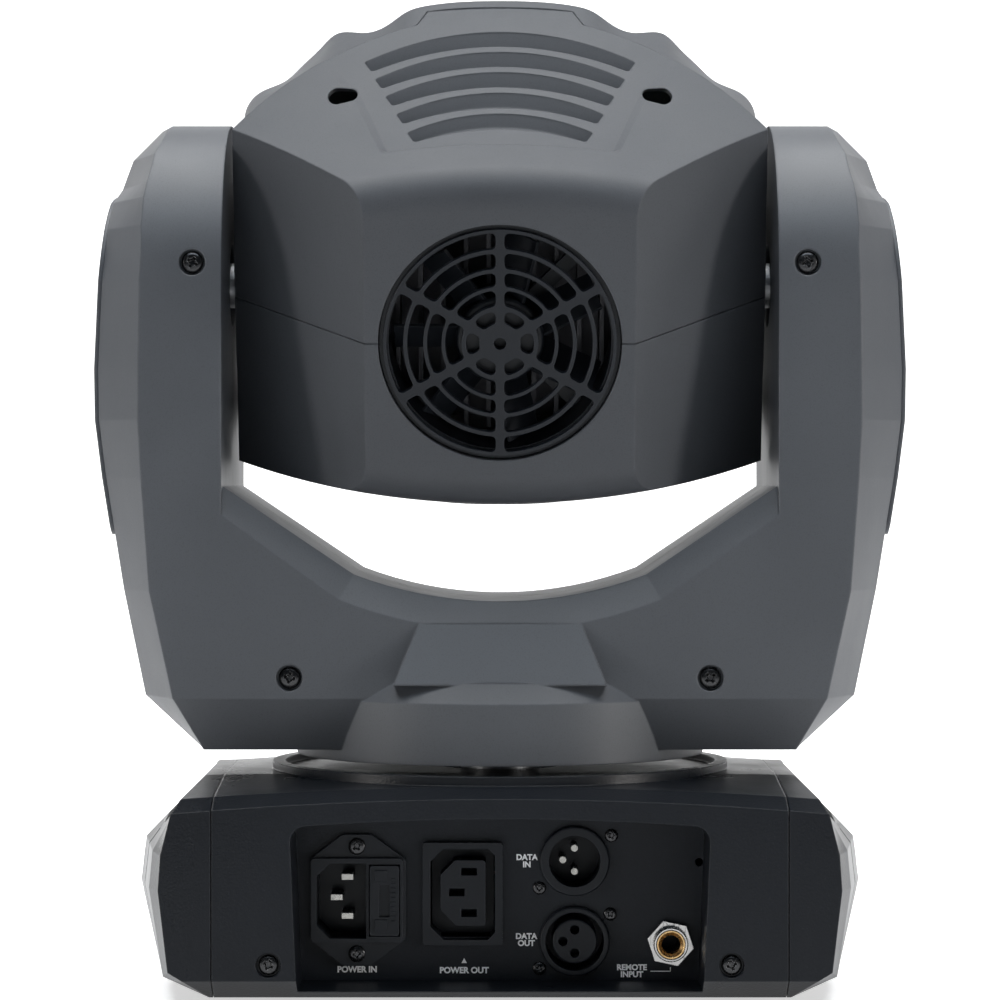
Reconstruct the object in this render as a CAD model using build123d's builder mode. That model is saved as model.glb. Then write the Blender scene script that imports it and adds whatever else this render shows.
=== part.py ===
from build123d import *
from math import asin, cos, exp, radians, sin, sqrt
import os

# Moving head light: a wide base, a yoke that pans on it, and a head that tilts between the yoke's arms.
# Millimetres, +Z up, origin on the floor under the pan axis. The beam side faces -Y, the connectors +Y.

os.makedirs("parts", exist_ok=True)

# ---------------------------------------------------------------- driving dimensions
WALL = 2.5  # moulded cover thickness
SEAM = 0.3  # visible gap between two covers
SHEET = 1.5  # folded sheet steel

BASE_DEPTH = 190.0
BASE_FLOOR = 3.0  # underside of the base, on its feet
BASE_SPLIT_X = 96.5  # groove between the middle covers and the side caps
END_DEPTH = 13.0  # how deep the rear and front covers reach
# Base cross-sections: distance from the middle, crown height, then the half outline from the top
# corner down to the floor corner.
BASE_SECTIONS = (
    (95.0, 70.7, ((110.0, 65.7), (113.4, 52.0), (114.2, 40.0), (111.0, 12.7), (106.4, 9.9))),
    (84.0, 73.8, ((107.5, 69.8), (117.0, 52.5), (118.2, 40.0), (113.5, 10.0), (98.0, 3.0))),
    (35.0, 75.0, ((103.0, 74.0), (123.5, 53.0), (125.5, 38.0), (119.0, 9.0), (109.0, 3.0))),
)

BAY_PLATE_Y = 60.0  # outer face of the connector plate
BAY_HALF_TOP = 70.3
BAY_HALF_LOW = 68.0
BAY_FLOOR = 5.6
BAY_SHOULDER = 61.3
BAY_CEILING = 64.1
PLATE_THICK = 1.5

PAN_SHAFT_R = 14.0
PAN_SHAFT_BORE = 10.0
PAN_PULLEY_R = 39.6
PAN_PULLEY_Z = 97.0
PULLEY_WIDTH = 8.0
PINION_R = 7.6
BELT_GAP = 0.4
BELT_THICK = 1.5
PAN_MOTOR_X = 74.0
FRAME_Z = 108.0
FRAME_THICK = 2.5

TILT_Z = 246.6
TILT_REST = 17.0  # the beam points this far above level at rest
TILT_SHAFT_R = 8.0
TILT_PULLEY_R = 29.6
TILT_PULLEY_X = 103.0
TILT_MOTOR_Z = 172.0
RUN_FIT = 0.05

ARM_INNER_X = 95.8
# Yoke cross-sections: height, face half-width and half-depth, outer half-width and half-depth.
YOKE_SECTIONS = (
    (83.8, 102.5, 48.0, 105.0, 30.0),
    (102.0, 112.5, 57.0, 124.0, 33.0),
    (139.0, 120.6, 57.0, 131.6, 33.0),
    (178.0, 123.5, 57.0, 137.8, 33.0),
    (198.0, 124.6, 57.0, 140.3, 33.0),
    (216.0, 124.5, 57.0, 140.6, 33.0),
    (246.6, 124.0, 57.0, 139.2, 33.0),
    (265.0, 121.9, 57.0, 137.6, 28.6),
    (275.0, 119.8, 57.0, 136.5, 18.7),
    (280.5, 118.8, 57.0, 134.6, 6.0),
    (291.0, 113.6, 57.0, 131.0, 4.0),
    (301.5, 106.0, 57.0, 120.5, 4.0),
    (304.0, 100.0, 57.0, 116.0, 4.0),
)
YOKE_HALF_DEPTH = 57.0
U_CORNER = (50.5, 144.5)
U_SHOULDER_Z = 175.0
U_MIDDLE_Z = 135.2
LIP_Y = 50.0
LIP_CORNER = (55.6, 135.9)
LIP_SHOULDER_Z = 164.8
LIP_MIDDLE_Z = 125.1
SKIRT_FLOOR = 79.8
YOKE_SCREWS = ((105.8, 252.0), (72.4, 109.1))
CAP_R = 31.5
CAP_FLOOR = 158.0
CAP_PROUD = 1.6
ARM_PLATE_X = 98.6
ARM_PLATE_HALF = 30.0
MOTOR_HALF = 21.0
BEARING_R = 13.0
PAN_BEARING_R = 22.0
BRACKET_X = 110.8
PINION_SHAFT_R = 2.5
BASE_SCREWS = ((77.4, 15.2),)

HEAD_HALF = 94.0
HEAD_WALL = 5.8
HEAD_REAR_W = -80.0
HEAD_REAR_HALF = 46.0
ROOF_V = 81.9  # roof height over the tilt axis
ROOF_SLOPE = 0.3147
ROOF_CROWN = 16.4  # how far the roof falls from its middle to its sides
SHELL_ARC_R = 114.5  # plan radius of the rear shells' front edge
SHELL_ARC_W = -82.2
TONGUE = ((33.0, 20.0), (26.0, 37.2))  # corners of the shells' straight front edge in the middle
GRILLE_R = 41.3  # bore for the fan grille
# Front shell stations: along the beam, half-width, half-height, squareness, and how lobed it is.
SKIRT_STATIONS = ((-20.0, 94.0, 76.0, 5.2, 0.0), (42.0, 94.0, 95.4, 2.5, 1.0))
NOSE_STATIONS = ((42.0, 94.0, 95.4, 2.5, 1.0), (54.0, 88.5, 91.2, 2.4, 0.75), (64.0, 80.5, 83.0, 2.3, 0.45),
                 (73.0, 70.0, 71.5, 2.1, 0.15), (80.0, 58.0, 58.0, 2.0, 0.0))
# Lobes and dips of the front shell: angle up from the side, height and spread in degrees.
LOBES = ((32.0, 9.0, 5.8), (54.5, 1.9, 3.2), (62.5, -4.4, 5.6))
NOSE_W = 80.0
LENS_R = 40.8
OUTLINE_STEP = 5  # degrees between the points of a formula outline
FACET_W = -16.0  # where the raking facets meet the flat sides
REAR_ROUND = 14.0  # edge between the rear wall and the roof
REAR_ROUND_INNER = 11.0
# Vents: a shallow panel let into the roof, and five louvred slots across it.
# Panel stations: along the beam, half-width at the roof, and depth; its sides slope in.
PANEL_STATIONS = ((-57.5, 40.5, -0.1), (-54.5, 41.3, 1.5), (-19.0, 50.6, 0.9), (10.0, 62.3, 0.4), (36.0, 71.0, -0.1))
PANEL_SLOPE_WIDE = 3.0
PANEL_FALL = 0.017  # how fast its floor falls towards the rear
SLOT_COUNT = 5
SLOT_PITCH = 13.75
SLOT_WIDE = 10.1
FIRST_SLOT_W = -44.8
SLOT_FALL = 1.1  # how fast a slot's ramp falls towards the rear
SLOT_DEEP = 4.6  # depth of its flat floor under the roof
SLOT_LIP = 0.25  # how far under the roof a ramp starts, beyond the panel's own depth
SLOT_END = 31.8  # half-length of the first slot's front edge
SLOT_END_STEP = 4.05
SLOT_END_LEAN = 0.37
SLOT_FRONT_R = 61.0
SLOT_FRONT_R_STEP = 8.8
SLOT_REAR_R = 80.0
SLOT_REAR_R_STEP = 6.5
SLOT_ROUND = 1.3
KEYHOLES = ((56.9, 311.1, 3.25), (52.2, 311.5, 2.5))  # x, z and radius of a screw well's two ends
KEYHOLE_Y = (60.0, 20.0)
GRILLE_ROWS = ((7.0, 11.5), (13.0, 18.6), (19.8, 24.7), (26.0, 31.4), (32.8, 38.4))
GRILLE_SEAT = 2.8
GRILLE_DISC_R = 39.6
GRILLE_GROOVE = 2.2
SPOKE_WIDE = 2.9
SPOKE_ROUND = 1.7
FAN_W = -76.6
FAN_DEEP = 20.0
FAN_BORE_R = 37.8
WHEEL_R = 40.0
WHEEL_OFFSET = 30.0
COLOUR_W = -6.0
GOBO_W = 2.0
WHEEL_THICK = 1.5
CARRIER_W = -22.0
CHASSIS_FRONT_W = 38.0
ROD_U = 44.0
ROD_R = 2.0
CHEEK_PLATE_U = 83.5
FOCUS_W = 14.0
FOCUS_THICK = 6.0
FOCUS_LENS_R = 24.0

PIN_LAYOUT = ((0.0, 4.0), (4.0, 0.0), (0.0, -4.0))
INLET = (48.9, 33.4)
INLET_PINS = ((52.4, 40.8), (52.4, 27.4), (56.1, 33.8))
OUTLET = (12.8, 35.5)
OUTLET_SLOTS = ((10.6, 43.1), (14.8, 36.0), (10.6, 28.9))
OUTLET_ISLAND = ((4.9, 24.5), (14.9, 24.5), (20.4, 30.0), (20.4, 42.0), (15.4, 47.0), (4.9, 47.0))
DATA_IN = (-25.6, 46.6)
DATA_OUT = (-25.6, 19.1)
JACK = (-58.4, 18.5)
JACK_BORE = 3.2
JACK_SLEEVE_R = 4.8
JACK_THREAD_R = 5.9
JACK_PROUD = 7.0
JACK_DEPTH = 20.0
DATA_SCREWS = ((-13.5, 37.2), (-38.2, 55.2), (-37.8, 28.3), (-13.5, 9.7))
INLET_SCREWS = ((49.0, 51.8), (49.0, 15.0))
INLET_FLANGE = ((32.2, 19.9), (32.2, 47.3), (44.0, 55.8), (54.0, 55.8),
                (65.1, 47.3), (65.1, 19.9), (54.0, 11.0), (44.0, 11.0))
CAVITY = ((45.8, 20.4), (58.2, 20.4), (62.7, 24.9), (62.7, 41.6), (58.2, 46.1), (45.8, 46.1))
DRAWER_X = 39.5
DRAWER_Z = 33.4

DISPLAY = (-24.0, 40.0)
BUTTON_XS = (30.0, 43.0, 56.0, 69.0)
BUTTON_Z = 40.0
BUTTON_R = 4.4
BUTTON_TRAVEL = 1.2
BRACKET_PITCH = 106.0
BRACKET_HOLE_R = 3.2
FOOT_AT = (82.0, 48.0)

# The head's own frame: x across, y up from the tilt axis, z along the beam.
BEAM = Vector(0, -cos(radians(TILT_REST)), sin(radians(TILT_REST)))
HEAD = Plane(origin=(0, 0, TILT_Z), x_dir=(1, 0, 0), z_dir=BEAM)
# Plan view of the head: x across, y along the beam, seen from above.
HEAD_PLAN = Plane(origin=(0, 0, TILT_Z), x_dir=(1, 0, 0), z_dir=-HEAD.y_dir)


def facing(y):
    """A vertical plane at this y: sketch x is X, sketch y is Z, and its normal is -Y."""
    return Plane.XZ.offset(-y)


def across(x):
    """A vertical plane at this x: sketch x is Y, sketch y is Z, and its normal is +X."""
    return Plane.YZ.offset(x)


def mirrored_pairs(points):
    """The points and their mirror images left to right."""
    return [(side * x, z) for x, z in points for side in (-1, 1)]


def write(piece, name):
    piece.part.label = name
    export_step(piece.part, "parts/" + name + ".step")


# ---------------------------------------------------------------- base covers
def base_envelope(inset):
    """The outer form of the base, drawn in by the inset all round."""
    rear_half = [(y - inset if y == BASE_DEPTH / 2 else y, crown, half) for y, crown, half in BASE_SECTIONS]
    front_half = [(-y, crown, half) for y, crown, half in rear_half]
    with BuildPart() as envelope:
        for y, crown, half in front_half + rear_half[::-1]:
            with BuildSketch(facing(y)):
                with BuildLine():
                    mirrored = [(-x, z) for x, z in reversed(half)]
                    outline = Polyline(*half, *mirrored)
                    ThreePointArc(outline @ 1, (0, crown), outline @ 0)
                make_face()
                if inset:
                    offset(amount=-inset, kind=Kind.INTERSECTION)
        loft(ruled=True)
    return envelope.part


def bay_outline(margin):
    """The connector bay's mouth, grown by a margin."""
    with BuildSketch() as outline:
        with BuildLine():
            sides = Polyline((BAY_HALF_TOP, BAY_SHOULDER), (BAY_HALF_LOW, BAY_FLOOR),
                             (-BAY_HALF_LOW, BAY_FLOOR), (-BAY_HALF_TOP, BAY_SHOULDER))
            ThreePointArc(sides @ 1, (0, BAY_CEILING), sides @ 0)
        make_face()
        fillet(outline.vertices().group_by(Axis.Y)[-1], 5.5)
        if margin:
            offset(amount=margin, kind=Kind.INTERSECTION)
    return outline.sketch


base_outer = base_envelope(0)
base_inner = base_envelope(WALL)
base_skin = base_envelope(1.0)

with BuildPart() as bay_tunnel:
    with BuildSketch(facing(BASE_DEPTH / 2)):
        add(bay_outline(2.0))
    extrude(amount=BASE_DEPTH / 2 - BAY_PLATE_Y)
    add(base_outer, mode=Mode.INTERSECT)

middle_width = 2 * BASE_SPLIT_X - SEAM
end_y = BASE_DEPTH / 2 - END_DEPTH

with BuildPart() as base_rear_cover:
    add(base_outer)
    add(base_inner, mode=Mode.SUBTRACT)
    with Locations((0, end_y + 25, 40)):
        Box(middle_width, 50, 90, mode=Mode.INTERSECT)
    with BuildSketch(facing(BASE_DEPTH / 2 - 1)):
        with Locations(*mirrored_pairs(BASE_SCREWS)):
            Circle(5.4)
    extrude(amount=10)
    add(bay_tunnel.part)
    with BuildSketch(facing(BASE_DEPTH / 2 + 5)):
        add(bay_outline(0))
    extrude(amount=50, mode=Mode.SUBTRACT)
    with BuildSketch(facing(BASE_DEPTH / 2)):
        with Locations(*mirrored_pairs(BASE_SCREWS)):
            Circle(4.2)
    extrude(amount=2.2, mode=Mode.SUBTRACT)
    with BuildSketch(facing(BASE_DEPTH / 2)):
        with Locations(*mirrored_pairs(BASE_SCREWS)):
            Circle(1.6)
    extrude(amount=12, mode=Mode.SUBTRACT)
write(base_rear_cover, "base_rear_cover")

with BuildPart() as base_front_cover:
    add(base_outer)
    add(base_inner, mode=Mode.SUBTRACT)
    with Locations((0, -end_y - 25, 40)):
        Box(middle_width, 50, 90, mode=Mode.INTERSECT)
    with BuildSketch(facing(-BASE_DEPTH / 2)):
        with Locations(DISPLAY):
            RectangleRounded(72, 34, 3)
    extrude(amount=-1.0, mode=Mode.SUBTRACT)
    with BuildSketch(facing(-BASE_DEPTH / 2)):
        with Locations(DISPLAY):
            RectangleRounded(62, 24, 1.5)
    extrude(amount=-8, mode=Mode.SUBTRACT)
    with BuildSketch(facing(-BASE_DEPTH / 2)):
        with Locations([(x, BUTTON_Z) for x in BUTTON_XS]):
            Circle(BUTTON_R + 0.4)
    extrude(amount=-8, mode=Mode.SUBTRACT)
write(base_front_cover, "base_front_cover")

with BuildPart() as base_top_cover:
    add(base_outer)
    add(base_inner, mode=Mode.SUBTRACT)
    with Locations((0, 0, 80)):
        Box(middle_width, 2 * end_y - 2 * SEAM, 30, mode=Mode.INTERSECT)
    with BuildSketch(Plane.XY.offset(73.5)):
        Circle(81.4)
        Circle(77.0, mode=Mode.SUBTRACT)
    extrude(amount=3.5)
    with BuildSketch(Plane.XY.offset(60)):
        Circle(PAN_SHAFT_R + 8)
    extrude(amount=30, mode=Mode.SUBTRACT)
write(base_top_cover, "base_top_cover")

# Side caps: a groove round a side panel, a long slot on the shoulder, and a hand grip.
with BuildPart() as cap_grooves:
    with BuildSketch(across(100)):
        with Locations((0, 36)):
            RectangleRounded(120, 46, 6)
            RectangleRounded(116.8, 42.8, 5, mode=Mode.SUBTRACT)
    extrude(amount=40)
    with BuildSketch(Plane.XY.offset(56)):
        with Locations((112.5, 0)):
            SlotOverall(118, 5.5, rotation=90)
    extrude(amount=30)
    add(base_skin, mode=Mode.SUBTRACT)

with BuildPart() as grip_block:
    with BuildSketch(across(104)):
        with Locations((0, 40)):
            SlotOverall(80, 24)
    extrude(amount=30)
    add(base_outer, mode=Mode.INTERSECT)

with BuildPart() as base_side_cap_right:
    add(base_outer)
    add(base_inner, mode=Mode.SUBTRACT)
    with Locations((BASE_SPLIT_X + SEAM / 2 + 50, 0, 40)):
        Box(100, 200, 90, mode=Mode.INTERSECT)
    add(cap_grooves.part, mode=Mode.SUBTRACT)
    add(grip_block.part)
    with BuildSketch(across(106.5)):
        with Locations((0, 40)):
            SlotOverall(75, 19)
    extrude(amount=30, mode=Mode.SUBTRACT)
write(base_side_cap_right, "base_side_cap_right")

with BuildPart() as base_side_cap_left:
    add(base_side_cap_right.part.mirror(Plane.YZ))
write(base_side_cap_left, "base_side_cap_left")

# ---------------------------------------------------------------- base inside
with BuildPart() as base_tray:
    with BuildSketch(Plane.XY.offset(BASE_FLOOR)):
        Rectangle(middle_width, 2 * end_y - 2 * SEAM)
        with Locations((0, end_y)):
            Rectangle(2 * BAY_HALF_LOW + 10, 2 * (end_y - BAY_PLATE_Y) + 2, mode=Mode.SUBTRACT)
        with GridLocations(BRACKET_PITCH, BRACKET_PITCH, 2, 2):
            Circle(BRACKET_HOLE_R, mode=Mode.SUBTRACT)
    extrude(amount=2)
    with BuildSketch(Plane.XY.offset(BASE_FLOOR)):
        with GridLocations(48, 48, 2, 2):
            Circle(4)
    extrude(amount=64)
write(base_tray, "base_tray")

with BuildPart() as rubber_feet:
    with BuildSketch():
        with GridLocations(2 * FOOT_AT[0], 2 * FOOT_AT[1], 2, 2):
            Circle(9)
    extrude(amount=BASE_FLOOR, taper=-8)
write(rubber_feet, "rubber_feet")

with BuildPart() as pan_shaft:
    with BuildSketch(Plane.XY.offset(67)):
        Circle(40)
    extrude(amount=4)
    with BuildSketch(Plane.XY.offset(67)):
        Circle(PAN_SHAFT_R)
    extrude(amount=47)
    Hole(PAN_SHAFT_BORE)
write(pan_shaft, "pan_shaft")

with BuildPart() as pan_pulley:
    with BuildSketch(Plane.XY.offset(PAN_PULLEY_Z)):
        Circle(PAN_PULLEY_R)
        with PolarLocations(PAN_PULLEY_R, 60):
            Circle(0.9, mode=Mode.SUBTRACT)
        with PolarLocations(27, 6):
            Circle(8, mode=Mode.SUBTRACT)
        Circle(PAN_SHAFT_R, mode=Mode.SUBTRACT)
    extrude(amount=PULLEY_WIDTH)
write(pan_pulley, "pan_pulley")

with BuildPart() as power_supply_board:
    with BuildSketch(Plane.XY.offset(9)):
        with Locations((-62, -22)):
            Rectangle(60, 100)
    extrude(amount=1.6)
    with BuildSketch(Plane.XY.offset(10.6)):
        with Locations((-62, 12)):
            Rectangle(30, 26)
        with Locations((-78, -20), (-78, -38)):
            Circle(8)
    extrude(amount=28)
    with BuildSketch(Plane.XY.offset(10.6)):
        with Locations((-50, -30)):
            Rectangle(4, 50)
    extrude(amount=22)
    with BuildSketch(Plane.XY.offset(5)):
        with Locations((-62, -22)):
            with GridLocations(52, 90, 2, 2):
                Circle(2.5)
    extrude(amount=4)
write(power_supply_board, "power_supply_board")

with BuildPart() as control_board:
    with BuildSketch(facing(-82)):
        with Locations((24, 40)):
            Rectangle(170, 44)
    extrude(amount=-1.6)
    with BuildSketch(facing(-83.6)):
        with Locations(DISPLAY):
            Rectangle(64, 26)
    extrude(amount=-5)
    with BuildSketch(facing(-83.6)):
        with Locations([(x, BUTTON_Z) for x in BUTTON_XS]):
            Rectangle(6, 6)
    extrude(amount=-2.6)
write(control_board, "control_board")

with BuildPart() as display_window:
    with BuildSketch(facing(-BASE_DEPTH / 2 + 1)):
        with Locations(DISPLAY):
            RectangleRounded(71.4, 33.4, 2.8)
    extrude(amount=0.9)
    with BuildSketch(facing(-BASE_DEPTH / 2 + 1)):
        with Locations(DISPLAY):
            RectangleRounded(61.4, 23.4, 1.3)
    extrude(amount=-3)
write(display_window, "display_window")

# Menu buttons: a cap on a flange that keeps it behind the front cover, and a stem.
for number, x in enumerate(BUTTON_XS, 1):
    with BuildPart() as menu_button:
        with BuildSketch(facing(-BASE_DEPTH / 2 - 1)):
            with Locations((x, BUTTON_Z)):
                Circle(BUTTON_R)
        extrude(amount=-4.2)
        fillet(menu_button.faces().sort_by(Axis.Y)[0].edges(), 0.8)
        with BuildSketch(facing(-BASE_DEPTH / 2 + 3.2)):
            with Locations((x, BUTTON_Z)):
                Circle(BUTTON_R + 1.4)
        extrude(amount=-1)
        with BuildSketch(facing(-BASE_DEPTH / 2 + 4.2)):
            with Locations((x, BUTTON_Z)):
                Circle(2)
        extrude(amount=-3)
    write(menu_button, "menu_button_" + str(number))

# ---------------------------------------------------------------- connector bay
with BuildPart() as connector_plate:
    with BuildSketch(facing(BAY_PLATE_Y)):
        add(bay_outline(3.5))
        with Locations((0, BASE_FLOOR + 2 + SEAM / 2 + 50)):
            Rectangle(200, 100, mode=Mode.INTERSECT)
        with Locations(INLET):
            Rectangle(30, 27.4, mode=Mode.SUBTRACT)
        with Locations(OUTLET):
            Rectangle(22, 30, mode=Mode.SUBTRACT)
        with Locations(DATA_IN, DATA_OUT):
            Circle(10.9, mode=Mode.SUBTRACT)
        with Locations(JACK):
            Circle(JACK_THREAD_R + 0.1, mode=Mode.SUBTRACT)
        with Locations(*DATA_SCREWS, *INLET_SCREWS):
            Circle(1.3, mode=Mode.SUBTRACT)
        with Locations((-68.3, 46.1)):
            Circle(1.4, mode=Mode.SUBTRACT)
    extrude(amount=PLATE_THICK)
write(connector_plate, "connector_plate")

with BuildPart() as power_inlet:
    with BuildSketch(facing(BAY_PLATE_Y)) as inlet_flange:
        Polygon(*INLET_FLANGE, align=None)
        fillet(inlet_flange.vertices(), 2.5)
    extrude(amount=-2.5)
    with BuildSketch(facing(BAY_PLATE_Y)):
        with Locations(INLET):
            RectangleRounded(31.7, 28.9, 1.5)
    extrude(amount=-4.6)
    with BuildSketch(facing(BAY_PLATE_Y)):
        with Locations(INLET):
            Rectangle(29.6, 27.0)
    extrude(amount=22)
    with BuildSketch(facing(BAY_PLATE_Y + 10)):
        Polygon(*CAVITY, align=None)
    extrude(amount=26, mode=Mode.SUBTRACT)
    with BuildSketch(facing(BAY_PLATE_Y + 10)):
        with Locations((DRAWER_X, DRAWER_Z)):
            Rectangle(10.6, 24.6)
    extrude(amount=28, mode=Mode.SUBTRACT)
    with BuildSketch(facing(BAY_PLATE_Y + 4)):
        with Locations(*INLET_SCREWS):
            Circle(1.5)
    extrude(amount=8, mode=Mode.SUBTRACT)
write(power_inlet, "power_inlet")

with BuildPart() as fuse_drawer:
    with BuildSketch(facing(BAY_PLATE_Y + 5.6)):
        with Locations((DRAWER_X, DRAWER_Z)):
            RectangleRounded(10.0, 24.0, 0.8)
    extrude(amount=20)
    with BuildSketch(facing(BAY_PLATE_Y + 5.6)):
        with Locations((DRAWER_X, DRAWER_Z)):
            Rectangle(3.4, 11)
    extrude(amount=1.4, mode=Mode.SUBTRACT)
    with BuildSketch(facing(BAY_PLATE_Y - 3)):
        with Locations((DRAWER_X, DRAWER_Z)):
            Rectangle(5.6, 20.6)
    extrude(amount=20, mode=Mode.SUBTRACT)
write(fuse_drawer, "fuse_drawer")

with BuildPart() as fuse:
    with BuildSketch(Plane.XY.offset(DRAWER_Z - 10)):
        with Locations((DRAWER_X, BAY_PLATE_Y - 8)):
            Circle(2.5)
    extrude(amount=20)
write(fuse, "fuse")

with BuildPart() as power_outlet:
    with BuildSketch(facing(BAY_PLATE_Y)):
        with Locations(OUTLET):
            RectangleRounded(27.5, 35.2, 1.2)
    extrude(amount=-3.2)
    with BuildSketch(facing(BAY_PLATE_Y)):
        with Locations(OUTLET):
            Rectangle(21.6, 29.6)
    extrude(amount=20)
    with BuildSketch(facing(BAY_PLATE_Y + 10)):
        Polygon((1.7, 22.3), (4.2, 19.8), (19.3, 19.8), (23.8, 24.3),
                (23.8, 46.6), (19.3, 51.1), (4.2, 51.1), (1.7, 48.6), align=None)
    extrude(amount=20, mode=Mode.SUBTRACT)
    with BuildSketch(facing(BAY_PLATE_Y + 2.6)) as island:
        Polygon(*OUTLET_ISLAND, align=None)
        fillet(island.vertices(), 1.2)
    extrude(amount=16)
    with BuildSketch(facing(BAY_PLATE_Y + 3)):
        with Locations(*OUTLET_SLOTS):
            Rectangle(5.3, 2.6)
    extrude(amount=14, mode=Mode.SUBTRACT)
write(power_outlet, "power_outlet")

# Round data sockets: a bare cup for the pins, and a cup with a plug-in insert for the holes.
for centre, inner, name in ((DATA_IN, 8.8, "data_in_socket"), (DATA_OUT, 10.0, "data_out_socket")):
    with BuildPart() as socket:
        with BuildSketch(facing(BAY_PLATE_Y)):
            with Locations(centre):
                Circle(12)
        extrude(amount=-2.6)
        fillet(socket.faces().sort_by(Axis.Y)[-1].edges(), 0.8)
        with BuildSketch(facing(BAY_PLATE_Y)):
            with Locations(centre):
                Circle(10.8)
        extrude(amount=20)
        with BuildSketch(facing(BAY_PLATE_Y + 4)):
            with Locations(centre):
                Circle(inner)
        extrude(amount=20, mode=Mode.SUBTRACT)
    write(socket, name)

with BuildPart() as data_out_insert:
    with BuildSketch(facing(BAY_PLATE_Y + 2.0)):
        with Locations(DATA_OUT):
            Circle(7.65)
    extrude(amount=18)
    fillet(data_out_insert.faces().sort_by(Axis.Y)[-1].edges(), 0.6)
    with BuildSketch(facing(BAY_PLATE_Y + 3)):
        with Locations(DATA_OUT):
            with Locations(*PIN_LAYOUT):
                Circle(1.6)
    extrude(amount=13, mode=Mode.SUBTRACT)
write(data_out_insert, "data_out_insert")

with BuildPart() as connector_pins:
    with BuildSketch(facing(BAY_PLATE_Y - 16)):
        with Locations(*INLET_PINS):
            Rectangle(4, 2)
    extrude(amount=-14)
    with BuildSketch(facing(BAY_PLATE_Y - 16)):
        with Locations(DATA_IN):
            with Locations(*PIN_LAYOUT):
                Circle(1.2)
    extrude(amount=-13)
write(connector_pins, "connector_pins")

with BuildPart() as remote_jack:
    with BuildSketch(facing(BAY_PLATE_Y - PLATE_THICK)):
        with Locations(JACK):
            Rectangle(15, 15)
    extrude(amount=22)
    with BuildSketch(facing(BAY_PLATE_Y - PLATE_THICK)):
        with Locations(JACK):
            Circle(JACK_BORE)
    extrude(amount=JACK_DEPTH - JACK_PROUD - PLATE_THICK, mode=Mode.SUBTRACT)
write(remote_jack, "remote_jack")

with BuildPart() as remote_jack_thread:
    with BuildSketch(facing(BAY_PLATE_Y + JACK_PROUD)):
        with Locations(JACK):
            Circle(JACK_THREAD_R)
            Circle(JACK_SLEEVE_R, mode=Mode.SUBTRACT)
    extrude(amount=JACK_PROUD + PLATE_THICK)
    chamfer(remote_jack_thread.edges().group_by(Axis.Y)[-1], 0.3)
write(remote_jack_thread, "remote_jack_thread")

with BuildPart() as remote_jack_sleeve:
    with BuildSketch(facing(BAY_PLATE_Y + JACK_PROUD - 0.3)):
        with Locations(JACK):
            Circle(JACK_SLEEVE_R)
            Circle(JACK_BORE, mode=Mode.SUBTRACT)
    extrude(amount=JACK_PROUD - 0.3 + PLATE_THICK)
    mouth = remote_jack_sleeve.edges().group_by(Axis.Y)[-1].sort_by(SortBy.RADIUS)[0]
    chamfer(mouth, 1.1)
write(remote_jack_sleeve, "remote_jack_sleeve")

with BuildPart() as remote_jack_nut:
    with BuildSketch(facing(BAY_PLATE_Y)):
        with Locations(JACK):
            RegularPolygon(8.1, 6, rotation=12)
            Circle(JACK_THREAD_R, mode=Mode.SUBTRACT)
    extrude(amount=-3)
write(remote_jack_nut, "remote_jack_nut")


def screws(points, face_y, head_r, head_high, shank_r, shank_long):
    """Round-head screws that face +Y, each head standing on face_y."""
    with BuildPart() as group:
        with BuildSketch(facing(face_y)):
            with Locations(*points):
                Circle(head_r)
        extrude(amount=-head_high)
        with BuildSketch(facing(face_y)):
            with Locations(*points):
                Circle(shank_r)
        extrude(amount=shank_long)
    return group.part


with BuildPart() as connector_screws:
    add(screws(DATA_SCREWS, BAY_PLATE_Y, 2.3, 1.2, 1.3, 5))
    add(screws(INLET_SCREWS, BAY_PLATE_Y + 2.5, 2.9, 1.2, 1.3, 8))
write(connector_screws, "connector_screws")

with BuildPart() as base_screws:
    add(screws(mirrored_pairs(BASE_SCREWS), BASE_DEPTH / 2 - 2.2, 3.4, 1.6, 1.5, 8))
write(base_screws, "base_screws")

# ---------------------------------------------------------------- yoke covers
def u_outline(corner, shoulder_z, middle_z):
    """The space between the arms, seen from the front."""
    with BuildSketch() as outline:
        with BuildLine():
            walls = Polyline((corner[0], corner[1]), (ARM_INNER_X, shoulder_z), (ARM_INNER_X, 330),
                             (-ARM_INNER_X, 330), (-ARM_INNER_X, shoulder_z), (-corner[0], corner[1]))
            ThreePointArc(walls @ 1, (0, middle_z), walls @ 0)
        make_face()
    return outline.sketch


def yoke_envelope(inset):
    """The outer form of the yoke, drawn in by the inset all round, without its skirt."""
    with BuildPart() as envelope:
        for z, face_x, face_y, side_x, side_y in YOKE_SECTIONS:
            x1, y1, x2, y2 = face_x - inset, face_y - inset, side_x - inset, side_y
            height = z + inset if z == YOKE_SECTIONS[0][0] else z
            with BuildSketch(Plane.XY.offset(height)):
                Polygon((x1, y1), (-x1, y1), (-x2, y2), (-x2, -y2),
                        (-x1, -y1), (x1, -y1), (x2, -y2), (x2, y2), align=None)
        loft(ruled=True)
        with BuildSketch(across(-200)):
            with Locations((0, TILT_Z)):
                Circle(YOKE_HALF_DEPTH - inset)
            with Locations((0, TILT_Z - 100)):
                Rectangle(2 * YOKE_HALF_DEPTH, 200)
        extrude(amount=400, mode=Mode.INTERSECT)
        with BuildSketch(facing(100)):
            add(u_outline(U_CORNER, U_SHOULDER_Z, U_MIDDLE_Z))
            if inset:
                offset(amount=inset, kind=Kind.INTERSECTION)
        extrude(amount=200, mode=Mode.SUBTRACT)
    return envelope.part


yoke_outer = yoke_envelope(0)
yoke_inner = yoke_envelope(WALL)


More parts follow.
